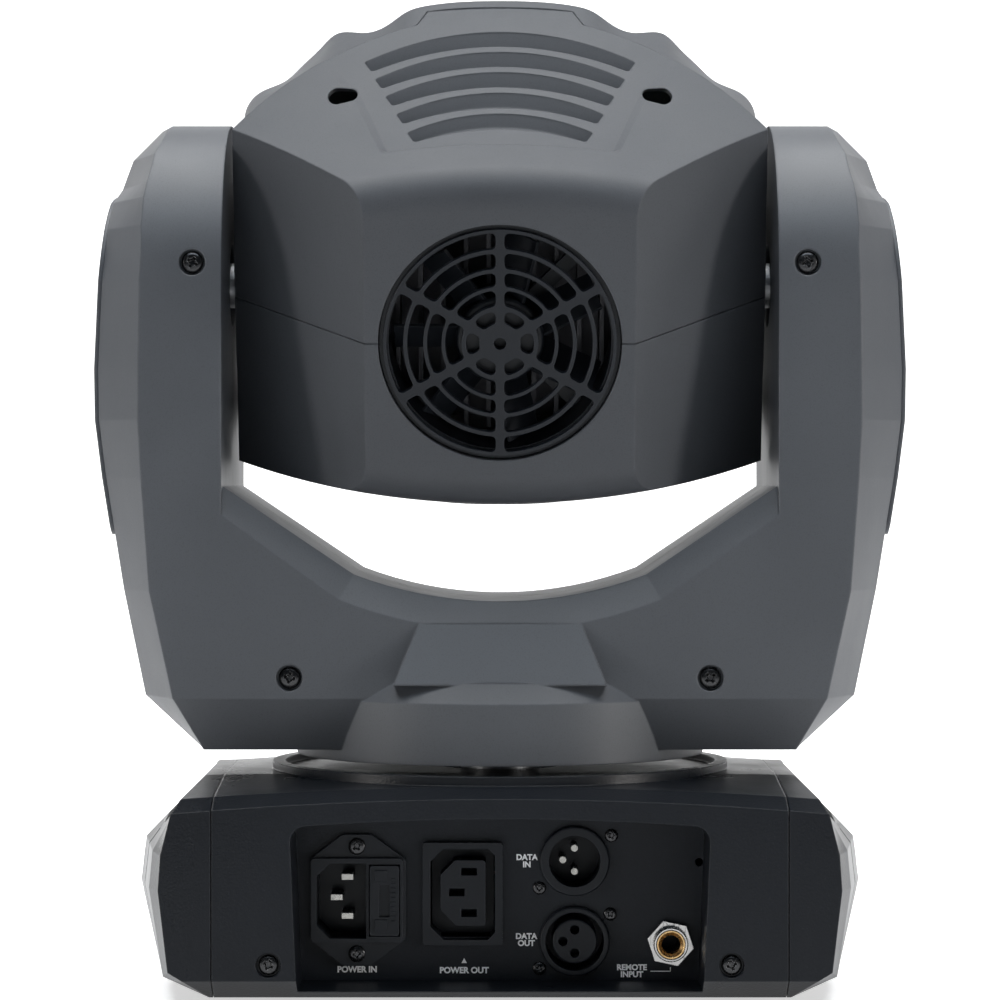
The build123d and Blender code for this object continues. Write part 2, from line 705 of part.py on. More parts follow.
def lip_slope(inset):
    """The slope that runs from the yoke's rear face in to the lip of the U."""
    with BuildPart() as slope:
        for y, outline in ((LIP_Y - inset, u_outline(U_CORNER, U_SHOULDER_Z, U_MIDDLE_Z)),
                           (YOKE_HALF_DEPTH + 0.2, u_outline(LIP_CORNER, LIP_SHOULDER_Z, LIP_MIDDLE_Z))):
            with BuildSketch(facing(y)):
                add(outline)
                if inset:
                    offset(amount=inset, kind=Kind.INTERSECTION)
        loft(ruled=True)
    return slope.part


# The round skirt over the pan bearing, and the wedge that runs from it up to the yoke's face.
with BuildPart() as skirt_outer:
    with BuildSketch(Plane.XZ):
        Polygon((0, SKIRT_FLOOR), (72.5, SKIRT_FLOOR), (74, 101), (67.4, 107.6), (56, 112),
                (0, 112), align=None)
    revolve(axis=Axis.Z)

with BuildPart() as skirt_inner:
    with BuildSketch(Plane.XZ):
        Polygon((0, SKIRT_FLOOR - 1), (70, SKIRT_FLOOR - 1), (71.4, 99.6), (65.4, 105.6), (54, 110),
                (0, 110), align=None)
    revolve(axis=Axis.Z)

with BuildPart() as wedge:
    with BuildSketch(Plane.XY.offset(107)):
        with Locations((0, 58.4)):
            Rectangle(73, 16)
    with BuildSketch(Plane.XY.offset(127.7)):
        with Locations((0, 53.8)):
            Rectangle(56, 6.6)
    loft(ruled=True)

with BuildPart() as yoke_solid:
    add(yoke_outer)
    add(lip_slope(0), mode=Mode.SUBTRACT)
    add(lip_slope(0).mirror(Plane.XZ), mode=Mode.SUBTRACT)
    add(skirt_outer.part)
    add(wedge.part)
    add(wedge.part.mirror(Plane.XZ))

with BuildPart() as yoke_space:
    add(yoke_inner)
    add(lip_slope(WALL), mode=Mode.SUBTRACT)
    add(lip_slope(WALL).mirror(Plane.XZ), mode=Mode.SUBTRACT)
    add(skirt_inner.part)
    with BuildSketch(across(-ARM_INNER_X - WALL - 1)):
        with Locations((0, TILT_Z)):
            Circle(15)
    extrude(amount=2 * (ARM_INNER_X + WALL + 1))

with BuildPart() as yoke_rear_cover:
    add(yoke_solid.part)
    add(yoke_space.part, mode=Mode.SUBTRACT)
    with Locations((0, 100 + SEAM / 2, 200)):
        Box(400, 200, 300, mode=Mode.INTERSECT)
    with BuildSketch(facing(YOKE_HALF_DEPTH - 2)):
        with Locations(*mirrored_pairs(YOKE_SCREWS)):
            Circle(6)
    extrude(amount=16)
    with BuildSketch(facing(YOKE_HALF_DEPTH + 1)):
        with Locations(*mirrored_pairs(YOKE_SCREWS)):
            Circle(4.5)
    extrude(amount=3.6, mode=Mode.SUBTRACT)
    with BuildSketch(facing(YOKE_HALF_DEPTH)):
        with Locations(*mirrored_pairs(YOKE_SCREWS)):
            Circle(1.7)
    extrude(amount=30, mode=Mode.SUBTRACT)
write(yoke_rear_cover, "yoke_rear_cover")

with BuildPart() as yoke_front_cover:
    add(yoke_solid.part)
    add(yoke_space.part, mode=Mode.SUBTRACT)
    with Locations((0, -100 - SEAM / 2, 200)):
        Box(400, 200, 300, mode=Mode.INTERSECT)
write(yoke_front_cover, "yoke_front_cover")

with BuildPart() as yoke_screws:
    add(screws(mirrored_pairs(YOKE_SCREWS), YOKE_HALF_DEPTH - 2.6, 3.8, 1.8, 1.6, 13))
write(yoke_screws, "yoke_screws")

# The raised panel on the outside of each arm.
with BuildPart() as arm_cap_right:
    with BuildSketch(across(125)):
        with Locations((0, TILT_Z)):
            Circle(CAP_R)
        with Locations((0, (TILT_Z + CAP_FLOOR) / 2)):
            RectangleRounded(2 * CAP_R, TILT_Z - CAP_FLOOR, 5)
        with Locations((0, TILT_Z - 10)):
            Rectangle(2 * CAP_R, 20)
    extrude(amount=25)
    add(yoke_envelope(-CAP_PROUD), mode=Mode.INTERSECT)
    add(yoke_outer, mode=Mode.SUBTRACT)
write(arm_cap_right, "arm_cap_right")

with BuildPart() as arm_cap_left:
    add(arm_cap_right.part.mirror(Plane.YZ))
write(arm_cap_left, "arm_cap_left")

# ---------------------------------------------------------------- yoke inside
with BuildPart() as yoke_frame:
    with BuildSketch(Plane.XY.offset(FRAME_Z)):
        Rectangle(2 * (ARM_PLATE_X + FRAME_THICK), 2 * ARM_PLATE_HALF + 6)
        Circle(PAN_BEARING_R, mode=Mode.SUBTRACT)
        with Locations((PAN_MOTOR_X, 0)):
            Circle(4, mode=Mode.SUBTRACT)
    extrude(amount=FRAME_THICK)
    for x in (ARM_PLATE_X, -ARM_PLATE_X - FRAME_THICK):
        with BuildSketch(across(x)):
            with Locations((0, (FRAME_Z + TILT_Z) / 2)):
                Rectangle(2 * ARM_PLATE_HALF, TILT_Z - FRAME_Z)
            with Locations((0, TILT_Z)):
                Circle(ARM_PLATE_HALF)
                Circle(BEARING_R, mode=Mode.SUBTRACT)
            with Locations((0, 200)):
                Rectangle(30, 30, mode=Mode.SUBTRACT)
        extrude(amount=FRAME_THICK)
    with BuildSketch(across(BRACKET_X)):
        with Locations((0, TILT_MOTOR_Z)):
            Rectangle(2 * MOTOR_HALF + 2, 2 * MOTOR_HALF + 2)
            Circle(11.5, mode=Mode.SUBTRACT)
    extrude(amount=SHEET)
    with BuildSketch(Plane.XY.offset(TILT_MOTOR_Z - MOTOR_HALF - 1 - SHEET)):
        with Locations(((ARM_PLATE_X + BRACKET_X + SHEET) / 2, 0)):
            Rectangle(BRACKET_X + SHEET - ARM_PLATE_X, 2 * MOTOR_HALF + 2)
    extrude(amount=SHEET)
write(yoke_frame, "yoke_frame")

with BuildPart() as yoke_bearings:
    with BuildSketch(Plane.XY.offset(FRAME_Z - 1)):
        Circle(PAN_BEARING_R)
        Circle(PAN_SHAFT_R + RUN_FIT, mode=Mode.SUBTRACT)
    extrude(amount=5)
    for x in (ARM_PLATE_X, -ARM_PLATE_X - 4):
        with BuildSketch(across(x)):
            with Locations((0, TILT_Z)):
                Circle(BEARING_R)
                Circle(TILT_SHAFT_R + RUN_FIT, mode=Mode.SUBTRACT)
        extrude(amount=4)
write(yoke_bearings, "yoke_bearings")

with BuildPart() as pan_motor:
    with BuildSketch(Plane.XY.offset(FRAME_Z + FRAME_THICK)):
        with Locations((PAN_MOTOR_X, 0)):
            RectangleRounded(2 * MOTOR_HALF, 2 * MOTOR_HALF, 4)
    extrude(amount=31)
    with BuildSketch(Plane.XY.offset(FRAME_Z + FRAME_THICK)):
        with Locations((PAN_MOTOR_X, 0)):
            Circle(PINION_SHAFT_R + RUN_FIT)
    extrude(amount=14, mode=Mode.SUBTRACT)
write(pan_motor, "pan_motor")

with BuildPart() as tilt_motor:
    with BuildSketch(across(BRACKET_X + SHEET)):
        with Locations((0, TILT_MOTOR_Z)):
            RectangleRounded(2 * MOTOR_HALF, 2 * MOTOR_HALF, 4)
    extrude(amount=18)
    with BuildSketch(across(BRACKET_X + SHEET)):
        with Locations((0, TILT_MOTOR_Z)):
            Circle(PINION_SHAFT_R + RUN_FIT)
    extrude(amount=12, mode=Mode.SUBTRACT)
write(tilt_motor, "tilt_motor")


def pinion_outline():
    with BuildSketch() as outline:
        Circle(PINION_R)
        with PolarLocations(PINION_R, 12):
            Circle(0.9, mode=Mode.SUBTRACT)
    return outline.sketch


def belt_outline(large_r, small_r, distance):
    """A loop round a large wheel at the origin and a small one at this distance along sketch x."""
    lean = asin((large_r - small_r) / distance)
    large_x, large_y = large_r * sin(lean), large_r * cos(lean)
    small_x, small_y = distance + small_r * sin(lean), small_r * cos(lean)
    with BuildSketch() as outline:
        Circle(large_r)
        with Locations((distance, 0)):
            Circle(small_r)
        Polygon((large_x, large_y), (small_x, small_y), (small_x, -small_y), (large_x, -large_y), align=None)
    return outline.sketch


with BuildPart() as pan_pinion:
    with BuildSketch(Plane.XY.offset(PAN_PULLEY_Z)):
        with Locations((PAN_MOTOR_X, 0)):
            add(pinion_outline())
    extrude(amount=PULLEY_WIDTH)
    with BuildSketch(Plane.XY.offset(PAN_PULLEY_Z)):
        with Locations((PAN_MOTOR_X, 0)):
            Circle(PINION_SHAFT_R)
    extrude(amount=26)
write(pan_pinion, "pan_pinion")

with BuildPart() as tilt_pinion:
    with BuildSketch(across(TILT_PULLEY_X)):
        with Locations((0, TILT_MOTOR_Z)):
            add(pinion_outline())
    extrude(amount=PULLEY_WIDTH - 1)
    with BuildSketch(across(TILT_PULLEY_X)):
        with Locations((0, TILT_MOTOR_Z)):
            Circle(PINION_SHAFT_R)
    extrude(amount=20)
write(tilt_pinion, "tilt_pinion")

with BuildPart() as pan_belt:
    with BuildSketch(Plane.XY.offset(PAN_PULLEY_Z + 0.5)):
        add(belt_outline(PAN_PULLEY_R + BELT_GAP + BELT_THICK, PINION_R + BELT_GAP + BELT_THICK, PAN_MOTOR_X))
        add(belt_outline(PAN_PULLEY_R + BELT_GAP, PINION_R + BELT_GAP, PAN_MOTOR_X), mode=Mode.SUBTRACT)
    extrude(amount=PULLEY_WIDTH - 1)
write(pan_belt, "pan_belt")

tilt_belt_plane = Plane(origin=(TILT_PULLEY_X + 0.5, 0, TILT_Z), x_dir=(0, 0, -1), z_dir=(1, 0, 0))
tilt_span = TILT_Z - TILT_MOTOR_Z

with BuildPart() as tilt_belt:
    with BuildSketch(tilt_belt_plane):
        add(belt_outline(TILT_PULLEY_R + BELT_GAP + BELT_THICK, PINION_R + BELT_GAP + BELT_THICK, tilt_span))
        add(belt_outline(TILT_PULLEY_R + BELT_GAP, PINION_R + BELT_GAP, tilt_span), mode=Mode.SUBTRACT)
    extrude(amount=PULLEY_WIDTH - 2)
write(tilt_belt, "tilt_belt")

# ---------------------------------------------------------------- head shells
def roof_envelope(drop, rise=ROOF_SLOPE, crown=ROOF_CROWN):
    """The head's long body, its roof and belly lowered by the drop; they rise towards the front."""
    with BuildPart() as envelope:
        for w in (HEAD_REAR_W - 20, 60):
            middle = ROOF_V + rise * w - drop
            side = middle - crown
            with BuildSketch(HEAD.offset(w)):
                with BuildLine():
                    Line((HEAD_HALF, side), (HEAD_HALF, -side))
                    ThreePointArc((HEAD_HALF, -side), (0, -middle), (-HEAD_HALF, -side))
                    Line((-HEAD_HALF, -side), (-HEAD_HALF, side))
                    ThreePointArc((-HEAD_HALF, side), (0, middle), (HEAD_HALF, side))
                make_face()
        loft(ruled=True)
    return envelope.part


def roof_height(u, w):
    """Height of the roof above the tilt axis."""
    crown_r = (HEAD_HALF ** 2 + ROOF_CROWN ** 2) / (2 * ROOF_CROWN)
    return ROOF_V + ROOF_SLOPE * w - crown_r + sqrt(crown_r ** 2 - u ** 2)


def shell_edge(grow):
    """Plan of the rear shells' round front edge with its straight middle, grown by an amount."""
    with BuildSketch() as edge:
        with Locations((0, SHELL_ARC_W)):
            Circle(SHELL_ARC_R + grow)
        (rear_u, rear_w), (front_u, front_w) = TONGUE
        Polygon((rear_u + grow, rear_w), (front_u + grow, front_w + grow),
                (-front_u - grow, front_w + grow), (-rear_u - grow, rear_w), align=None)
    return edge.sketch


def rear_plan(inset):
    """Plan of the rear shells: a narrow rear wall, two raking facets and a round front edge."""
    lean = inset * 1.25
    with BuildSketch() as plan:
        Polygon((HEAD_REAR_HALF - lean / 2, HEAD_REAR_W + inset), (HEAD_HALF - inset, FACET_W + lean / 2),
                (HEAD_HALF - inset, 60), (inset - HEAD_HALF, 60), (inset - HEAD_HALF, FACET_W + lean / 2),
                (lean / 2 - HEAD_REAR_HALF, HEAD_REAR_W + inset), align=None)
        add(shell_edge(2 * inset), mode=Mode.INTERSECT)
    return plan.sketch


beam_axis = Axis((0, 0, TILT_Z), BEAM)


def rear_body(inset, wall, rounding):
    """The closed form of both rear shells, drawn in by the inset, and by the wall from the roof."""
    with BuildPart() as body:
        add(roof_envelope(wall))
        with BuildSketch(HEAD_PLAN.offset(-130)):
            add(rear_plan(inset))
        extrude(amount=260, mode=Mode.INTERSECT)
        rear_face = body.faces().sort_by(beam_axis)[0]
        fillet(rear_face.edges().filter_by(GeomType.LINE, reverse=True), rounding)
    return body.part


def rear_shell(up):
    """The upper or lower rear shell, without its vents: up is 1 or -1."""
    with BuildPart() as shell:
        add(rear_body(0, 0, REAR_ROUND))
        add(rear_body(WALL, HEAD_WALL, REAR_ROUND_INNER), mode=Mode.SUBTRACT)
        with BuildSketch(HEAD_PLAN.offset(-up * 130)):
            Rectangle(400, 400)
        extrude(amount=up * (130 - SEAM / 2), mode=Mode.INTERSECT)
        with BuildSketch(HEAD.offset(HEAD_REAR_W - 1)):
            Circle(GRILLE_R)
        extrude(amount=10, mode=Mode.SUBTRACT)
        with BuildSketch(across(-150)):
            with Locations((0, TILT_Z)):
                Circle(TILT_SHAFT_R + 0.6)
        extrude(amount=300, mode=Mode.SUBTRACT)
    return shell.part


def louvre(index):
    """The air in one vent slot: a band between two arcs, over a steep ramp and a flat floor."""
    rear_w = FIRST_SLOT_W + SLOT_PITCH * index
    front_w = rear_w + SLOT_WIDE
    front_r = SLOT_FRONT_R + SLOT_FRONT_R_STEP * index
    rear_r = SLOT_REAR_R + SLOT_REAR_R_STEP * index
    end_u = SLOT_END + SLOT_END_STEP * index
    end_w = front_w - front_r + sqrt(front_r ** 2 - end_u ** 2)
    clip = [(end_u + SLOT_END_LEAN * (w - end_w), w) for w in (rear_w - 20, front_w + 2)]
    bow = (front_w - end_w) / end_u ** 2
    lip = SLOT_LIP + PANEL_FALL * (PANEL_STATIONS[-1][0] - front_w)
    ramp_u = end_u + 4
    with BuildPart() as air:
        with BuildSketch(HEAD_PLAN.offset(-130)) as outline:
            with Locations((0, front_w - front_r)):
                Circle(front_r)
            with Locations((0, rear_w - rear_r)):
                Circle(rear_r, mode=Mode.SUBTRACT)
            Polygon(*clip, *[(-u, w) for u, w in reversed(clip)], align=None, mode=Mode.INTERSECT)
            fillet(outline.vertices(), SLOT_ROUND)
        extrude(amount=130)
        add(roof_envelope(SLOT_DEEP), mode=Mode.SUBTRACT)
        for w in (front_w + 2, front_w - 24):
            middle = roof_height(0, w) - lip - SLOT_FALL * (front_w - w)
            side = roof_height(ramp_u, w) - lip - SLOT_FALL * (front_w - w - bow * ramp_u ** 2)
            with BuildSketch(HEAD.offset(w)):
                with BuildLine():
                    Polyline((ramp_u, side), (ramp_u, 0), (-ramp_u, 0), (-ramp_u, side))
                    ThreePointArc((-ramp_u, side), (0, middle), (ramp_u, side))
                make_face()
        loft(ruled=True, mode=Mode.SUBTRACT)
    return air.part


with BuildPart() as vent_panel:
    for w, outer_u, deep in PANEL_STATIONS:
        inner_u = outer_u - PANEL_SLOPE_WIDE
        top = roof_height(0, w) + 3
        rim, floor = roof_height(outer_u, w), roof_height(inner_u, w) - deep
        with BuildSketch(HEAD.offset(w)):
            with BuildLine():
                Polyline((inner_u, floor), (outer_u, rim), (outer_u, top),
                         (-outer_u, top), (-outer_u, rim), (-inner_u, floor))
                ThreePointArc((-inner_u, floor), (0, roof_height(0, w) - deep), (inner_u, floor))
            make_face()
    loft(ruled=True)

with BuildPart() as screw_well:
    with BuildSketch(facing(KEYHOLE_Y[0])):
        for x, z, r in KEYHOLES:
            with Locations((x, z)):
                Circle(r)
        make_hull()
    extrude(amount=KEYHOLE_Y[0] - KEYHOLE_Y[1])

with BuildPart() as head_upper_shell:
    add(rear_shell(1))
    add(screw_well.part, mode=Mode.SUBTRACT)
    add(screw_well.part.mirror(Plane.YZ), mode=Mode.SUBTRACT)
    add(vent_panel.part, mode=Mode.SUBTRACT)
    for index in range(SLOT_COUNT):
        add(louvre(index), mode=Mode.SUBTRACT)
write(head_upper_shell, "head_upper_shell")

with BuildPart() as head_lower_shell:
    add(rear_shell(-1))
write(head_lower_shell, "head_lower_shell")


def lobed_outline(half_width, half_height, squareness, lobed, inset):
    """A rounded square with the same lobes in all four quarters, as one closed curve."""
    points = []
    for turn in range(0, 360, OUTLINE_STEP):
        across_part = abs(cos(radians(turn))) / half_width
        up_part = abs(sin(radians(turn))) / half_height
        reach = (across_part ** squareness + up_part ** squareness) ** (-1 / squareness) - inset
        from_side = min(turn % 180, 180 - turn % 180)
        for angle, height, spread in LOBES:
            reach += lobed * height * exp(-((from_side - angle) / spread) ** 2)
        points.append((reach * cos(radians(turn)), reach * sin(radians(turn))))
    return Spline(*points, periodic=True)


def front_envelope(inset):
    """The lobed front shell's form, drawn in by the inset."""
    with BuildPart() as envelope:
        for w, half_width, half_height, squareness, lobed in SKIRT_STATIONS:
            with BuildSketch(HEAD.offset(w)):
                with BuildLine():
                    lobed_outline(half_width, half_height, squareness, lobed, inset)
                make_face()
        loft(ruled=True)
        for w, half_width, half_height, squareness, lobed in NOSE_STATIONS:
            with BuildSketch(HEAD.offset(w - inset if w == NOSE_W else w)):
                with BuildLine():
                    lobed_outline(half_width, half_height, squareness, lobed, inset)
                make_face()
        loft()
    return envelope.part


with BuildPart() as front_shell:
    add(front_envelope(0))
    add(front_envelope(WALL), mode=Mode.SUBTRACT)
    with BuildSketch(HEAD_PLAN.offset(-130)):
        add(shell_edge(SEAM))
    extrude(amount=260, mode=Mode.SUBTRACT)
    with BuildSketch(HEAD.offset(NOSE_W + 1)):
        Circle(LENS_R + 4.8)
    extrude(amount=-20, mode=Mode.SUBTRACT)
    with BuildSketch(across(-150)):
        with Locations((0, TILT_Z)):
            Circle(TILT_SHAFT_R + 0.6)
    extrude(amount=300, mode=Mode.SUBTRACT)
write(front_shell, "front_shell")

# ---------------------------------------------------------------- head front and fan
with BuildPart() as front_bezel:
    with BuildSketch(Plane(origin=HEAD.origin, x_dir=(1, 0, 0), z_dir=HEAD.y_dir * -1)):
        Polygon((LENS_R + 0.2, 71), (LENS_R + 4.6, 71), (LENS_R + 4.6, NOSE_W + 0.1), (54, NOSE_W + 0.1),
                (52, NOSE_W + 3), (LENS_R + 6, NOSE_W + 3.6), (LENS_R + 0.2, 78), align=None)
    revolve(axis=beam_axis)
write(front_bezel, "front_bezel")


def lens(radius, back_w, front_w, back_bulge, front_bulge, name):
    """A lens on the beam axis: rim planes at back_w and front_w, each face bulging beyond its rim."""
    with BuildPart() as glass:
        with BuildSketch(HEAD_PLAN):
            with BuildLine():
                if back_bulge:
                    ThreePointArc((-radius, back_w), (0, back_w - back_bulge), (radius, back_w))
                else:
                    Line((-radius, back_w), (radius, back_w))
                Line((radius, back_w), (radius, front_w))
                ThreePointArc((radius, front_w), (0, front_w + front_bulge), (-radius, front_w))
                Line((-radius, front_w), (-radius, back_w))
            make_face()
            with Locations((radius, 0)):
                Rectangle(2 * radius, 400, mode=Mode.INTERSECT)
        revolve(axis=beam_axis)
    write(glass, name)


lens(LENS_R, 71.5, 74.0, 0, 5.5, "front_lens")

with BuildPart() as fan_grille:
    with BuildSketch(HEAD.offset(HEAD_REAR_W + 0.2)):
        Circle(GRILLE_R - 0.3)
    extrude(amount=GRILLE_SEAT)
    with BuildSketch(HEAD.offset(HEAD_REAR_W)):
        Circle(GRILLE_R + 1)
        Circle(GRILLE_DISC_R, mode=Mode.SUBTRACT)
    extrude(amount=GRILLE_GROOVE, mode=Mode.SUBTRACT)
    for inner, outer in GRILLE_ROWS:
        with BuildSketch(HEAD.offset(HEAD_REAR_W)) as row:
            Circle(outer)
            Circle(inner, mode=Mode.SUBTRACT)
            for angle in (90, 30, -30):
                with Locations(Rotation(0, 0, angle)):
                    Rectangle(100, SPOKE_WIDE, mode=Mode.SUBTRACT)
            fillet(row.vertices(), SPOKE_ROUND)
        extrude(amount=10, mode=Mode.SUBTRACT)
    with BuildSketch(HEAD.offset(HEAD_REAR_W)):
        Circle(2.1)
    extrude(amount=10, mode=Mode.SUBTRACT)
write(fan_grille, "fan_grille")

with BuildPart() as fan_housing:
    with BuildSketch(HEAD.offset(FAN_W)):
        RectangleRounded(80, 80, 4)
        Circle(FAN_BORE_R, mode=Mode.SUBTRACT)
        with GridLocations(71.5, 71.5, 2, 2):
            Circle(2.1, mode=Mode.SUBTRACT)
    extrude(amount=FAN_DEEP)
    with BuildSketch(HEAD.offset(FAN_W + FAN_DEEP - 2.5)):
        Circle(15)
        with PolarLocations(26.5, 4, 45):
            Rectangle(25, 5)
    extrude(amount=2.5)
    with BuildSketch(HEAD.offset(FAN_W + FAN_DEEP)):
        Circle(2 + RUN_FIT)
    extrude(amount=-6, mode=Mode.SUBTRACT)
write(fan_housing, "fan_housing")

with BuildPart() as fan_rotor:
    with BuildSketch(HEAD.offset(FAN_W + 1)):
        Circle(15)
    extrude(amount=15)
    fillet(fan_rotor.faces().sort_by(beam_axis)[0].edges(), 1.5)
    with BuildSketch(HEAD.offset(FAN_W + 15)):
        Circle(2)
    extrude(amount=4.5)
    with BuildSketch(Plane(origin=HEAD.origin + BEAM * (FAN_W + 8), x_dir=BEAM, z_dir=(1, 0, 0)).offset(14)):
        with Locations(Rotation(0, 0, 42)):
            Rectangle(15, 1.2)
    blade = extrude(amount=22)
    for turn in range(1, 7):
        add(blade.rotate(beam_axis, turn * 360 / 7))
write(fan_rotor, "fan_rotor")

# ---------------------------------------------------------------- head optics
with BuildPart() as heat_sink:
    with BuildSketch(HEAD.offset(-38)):
        Rectangle(90, 74)
    extrude(amount=4)
    with BuildSketch(HEAD.offset(-38)):
        with GridLocations(7.8, 0, 12, 1):
            Rectangle(1.6, 74)
    extrude(amount=-16)
write(heat_sink, "heat_sink")

with BuildPart() as led_module:
    with BuildSketch(HEAD.offset(-34)):
        RectangleRounded(40, 40, 2)
    extrude(amount=3)
    with BuildSketch(HEAD.offset(-31)):
        Circle(11)
    extrude(amount=3)
    fillet(led_module.faces().sort_by(beam_axis)[-1].edges(), 2.4)
write(led_module, "led_module")

with BuildPart() as head_chassis:
    with BuildSketch(HEAD.offset(CARRIER_W)):
        Rectangle(2 * CHEEK_PLATE_U + 4, 96)
        Circle(13, mode=Mode.SUBTRACT)
    extrude(amount=SHEET)
    with BuildSketch(HEAD.offset(CHASSIS_FRONT_W)):
        Rectangle(2 * CHEEK_PLATE_U + 4, 60)
        Circle(ROD_U + 4)
        Circle(36, mode=Mode.SUBTRACT)
    extrude(amount=SHEET)
    for x in (CHEEK_PLATE_U, -CHEEK_PLATE_U - 2):
        with BuildSketch(Plane(origin=HEAD.origin, x_dir=BEAM, z_dir=(1, 0, 0)).offset(x)):
            with Locations(((CARRIER_W + CHASSIS_FRONT_W + SHEET) / 2, 0)):
                Rectangle(CHASSIS_FRONT_W + SHEET - CARRIER_W, 60)
            Circle(TILT_SHAFT_R, mode=Mode.SUBTRACT)
        extrude(amount=2)
    with BuildSketch(HEAD.offset(CARRIER_W)):
        with Locations((-ROD_U, 0), (ROD_U, 0)):
            Circle(ROD_R)
    extrude(amount=CHASSIS_FRONT_W - CARRIER_W)
write(head_chassis, "head_chassis")

with BuildPart() as tilt_shafts:
    for side, reach in ((1, TILT_PULLEY_X + PULLEY_WIDTH - 1), (-1, ARM_PLATE_X + 5)):
        with BuildSketch(across(side * (CHEEK_PLATE_U - 3))):
            with Locations((0, TILT_Z)):
                Circle(14)
        extrude(amount=side * 3)
        with BuildSketch(across(side * CHEEK_PLATE_U)):
            with Locations((0, TILT_Z)):
                Circle(TILT_SHAFT_R)
        extrude(amount=side * (reach - CHEEK_PLATE_U))
write(tilt_shafts, "tilt_shafts")

with BuildPart() as tilt_pulley:
    with BuildSketch(across(TILT_PULLEY_X)):
        with Locations((0, TILT_Z)):
            Circle(TILT_PULLEY_R)
            with PolarLocations(TILT_PULLEY_R, 45):
                Circle(0.9, mode=Mode.SUBTRACT)
            with PolarLocations(19, 5):
                Circle(5.5, mode=Mode.SUBTRACT)
            Circle(TILT_SHAFT_R, mode=Mode.SUBTRACT)
    extrude(amount=PULLEY_WIDTH - 1)
write(tilt_pulley, "tilt_pulley")

# A wheel of filters below the beam and a wheel of patterns above it, each on its motor's shaft.
for name, v, w, hole_r in (("colour_wheel", -WHEEL_OFFSET, COLOUR_W, 8.5), ("gobo_wheel", WHEEL_OFFSET, GOBO_W, 6.5)):
    with BuildPart() as wheel:
        with BuildSketch(HEAD.offset(w)):
            with Locations((0, v)):
                Circle(WHEEL_R)
                with PolarLocations(WHEEL_OFFSET, 8, 90):
                    Circle(hole_r, mode=Mode.SUBTRACT)
        extrude(amount=WHEEL_THICK)
        with BuildSketch(HEAD.offset(w - 0.8)):
            with Locations((0, v)):
                Circle(5)
        extrude(amount=WHEEL_THICK + 1.6)
        with BuildSketch(HEAD.offset(w)):
            with Locations((0, v)):
                Circle(1.5)
        extrude(amount=-10)
    write(wheel, name)

with BuildPart() as wheel_motors:
    for v, w in ((-WHEEL_OFFSET, COLOUR_W), (WHEEL_OFFSET, GOBO_W)):
        front = w - 1.2
        with BuildSketch(HEAD.offset(CARRIER_W + SHEET)):
            with Locations((0, v)):
                Circle(10)
        extrude(amount=front - CARRIER_W - SHEET)
        with BuildSketch(HEAD.offset(front)):
            with Locations((0, v)):
                Circle(1.5 + RUN_FIT)
        extrude(amount=-11, mode=Mode.SUBTRACT)
write(wheel_motors, "wheel_motors")

with BuildPart() as focus_carriage:
    with BuildSketch(HEAD.offset(FOCUS_W)):
        Circle(FOCUS_LENS_R + 5)
        Rectangle(2 * ROD_U + 10, 12)
        Circle(FOCUS_LENS_R, mode=Mode.SUBTRACT)
        with Locations((-ROD_U, 0), (ROD_U, 0)):
            Circle(ROD_R + RUN_FIT, mode=Mode.SUBTRACT)
    extrude(amount=FOCUS_THICK)
write(focus_carriage, "focus_carriage")

lens(FOCUS_LENS_R, FOCUS_W + 1.5, FOCUS_W + FOCUS_THICK - 1.5, 3.0, 3.0, "focus_lens")
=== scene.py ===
"""Looks of the moving head light, in metres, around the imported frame."""
import math

import bmesh
import bpy
from mathutils import Matrix, Vector


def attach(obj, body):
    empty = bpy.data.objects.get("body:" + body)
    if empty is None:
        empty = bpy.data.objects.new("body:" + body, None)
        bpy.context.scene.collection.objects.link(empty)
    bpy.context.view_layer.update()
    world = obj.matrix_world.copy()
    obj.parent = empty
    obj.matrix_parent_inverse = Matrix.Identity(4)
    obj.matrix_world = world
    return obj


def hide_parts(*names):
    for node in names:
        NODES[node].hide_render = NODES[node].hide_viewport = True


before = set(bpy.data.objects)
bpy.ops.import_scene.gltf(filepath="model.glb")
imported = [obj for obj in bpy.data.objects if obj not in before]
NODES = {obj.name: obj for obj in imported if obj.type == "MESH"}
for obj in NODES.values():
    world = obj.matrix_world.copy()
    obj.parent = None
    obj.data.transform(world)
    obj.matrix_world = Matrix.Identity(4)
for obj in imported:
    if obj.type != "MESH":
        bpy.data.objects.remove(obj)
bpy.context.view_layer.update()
MM = 0.001
TILT_AXIS = Vector((0, 0, 0.2466))
REST_TILT = math.radians(17)
BEAM = Vector((0, -math.cos(REST_TILT), math.sin(REST_TILT)))
HEAD_UP = Vector((0, math.sin(REST_TILT), math.cos(REST_TILT)))


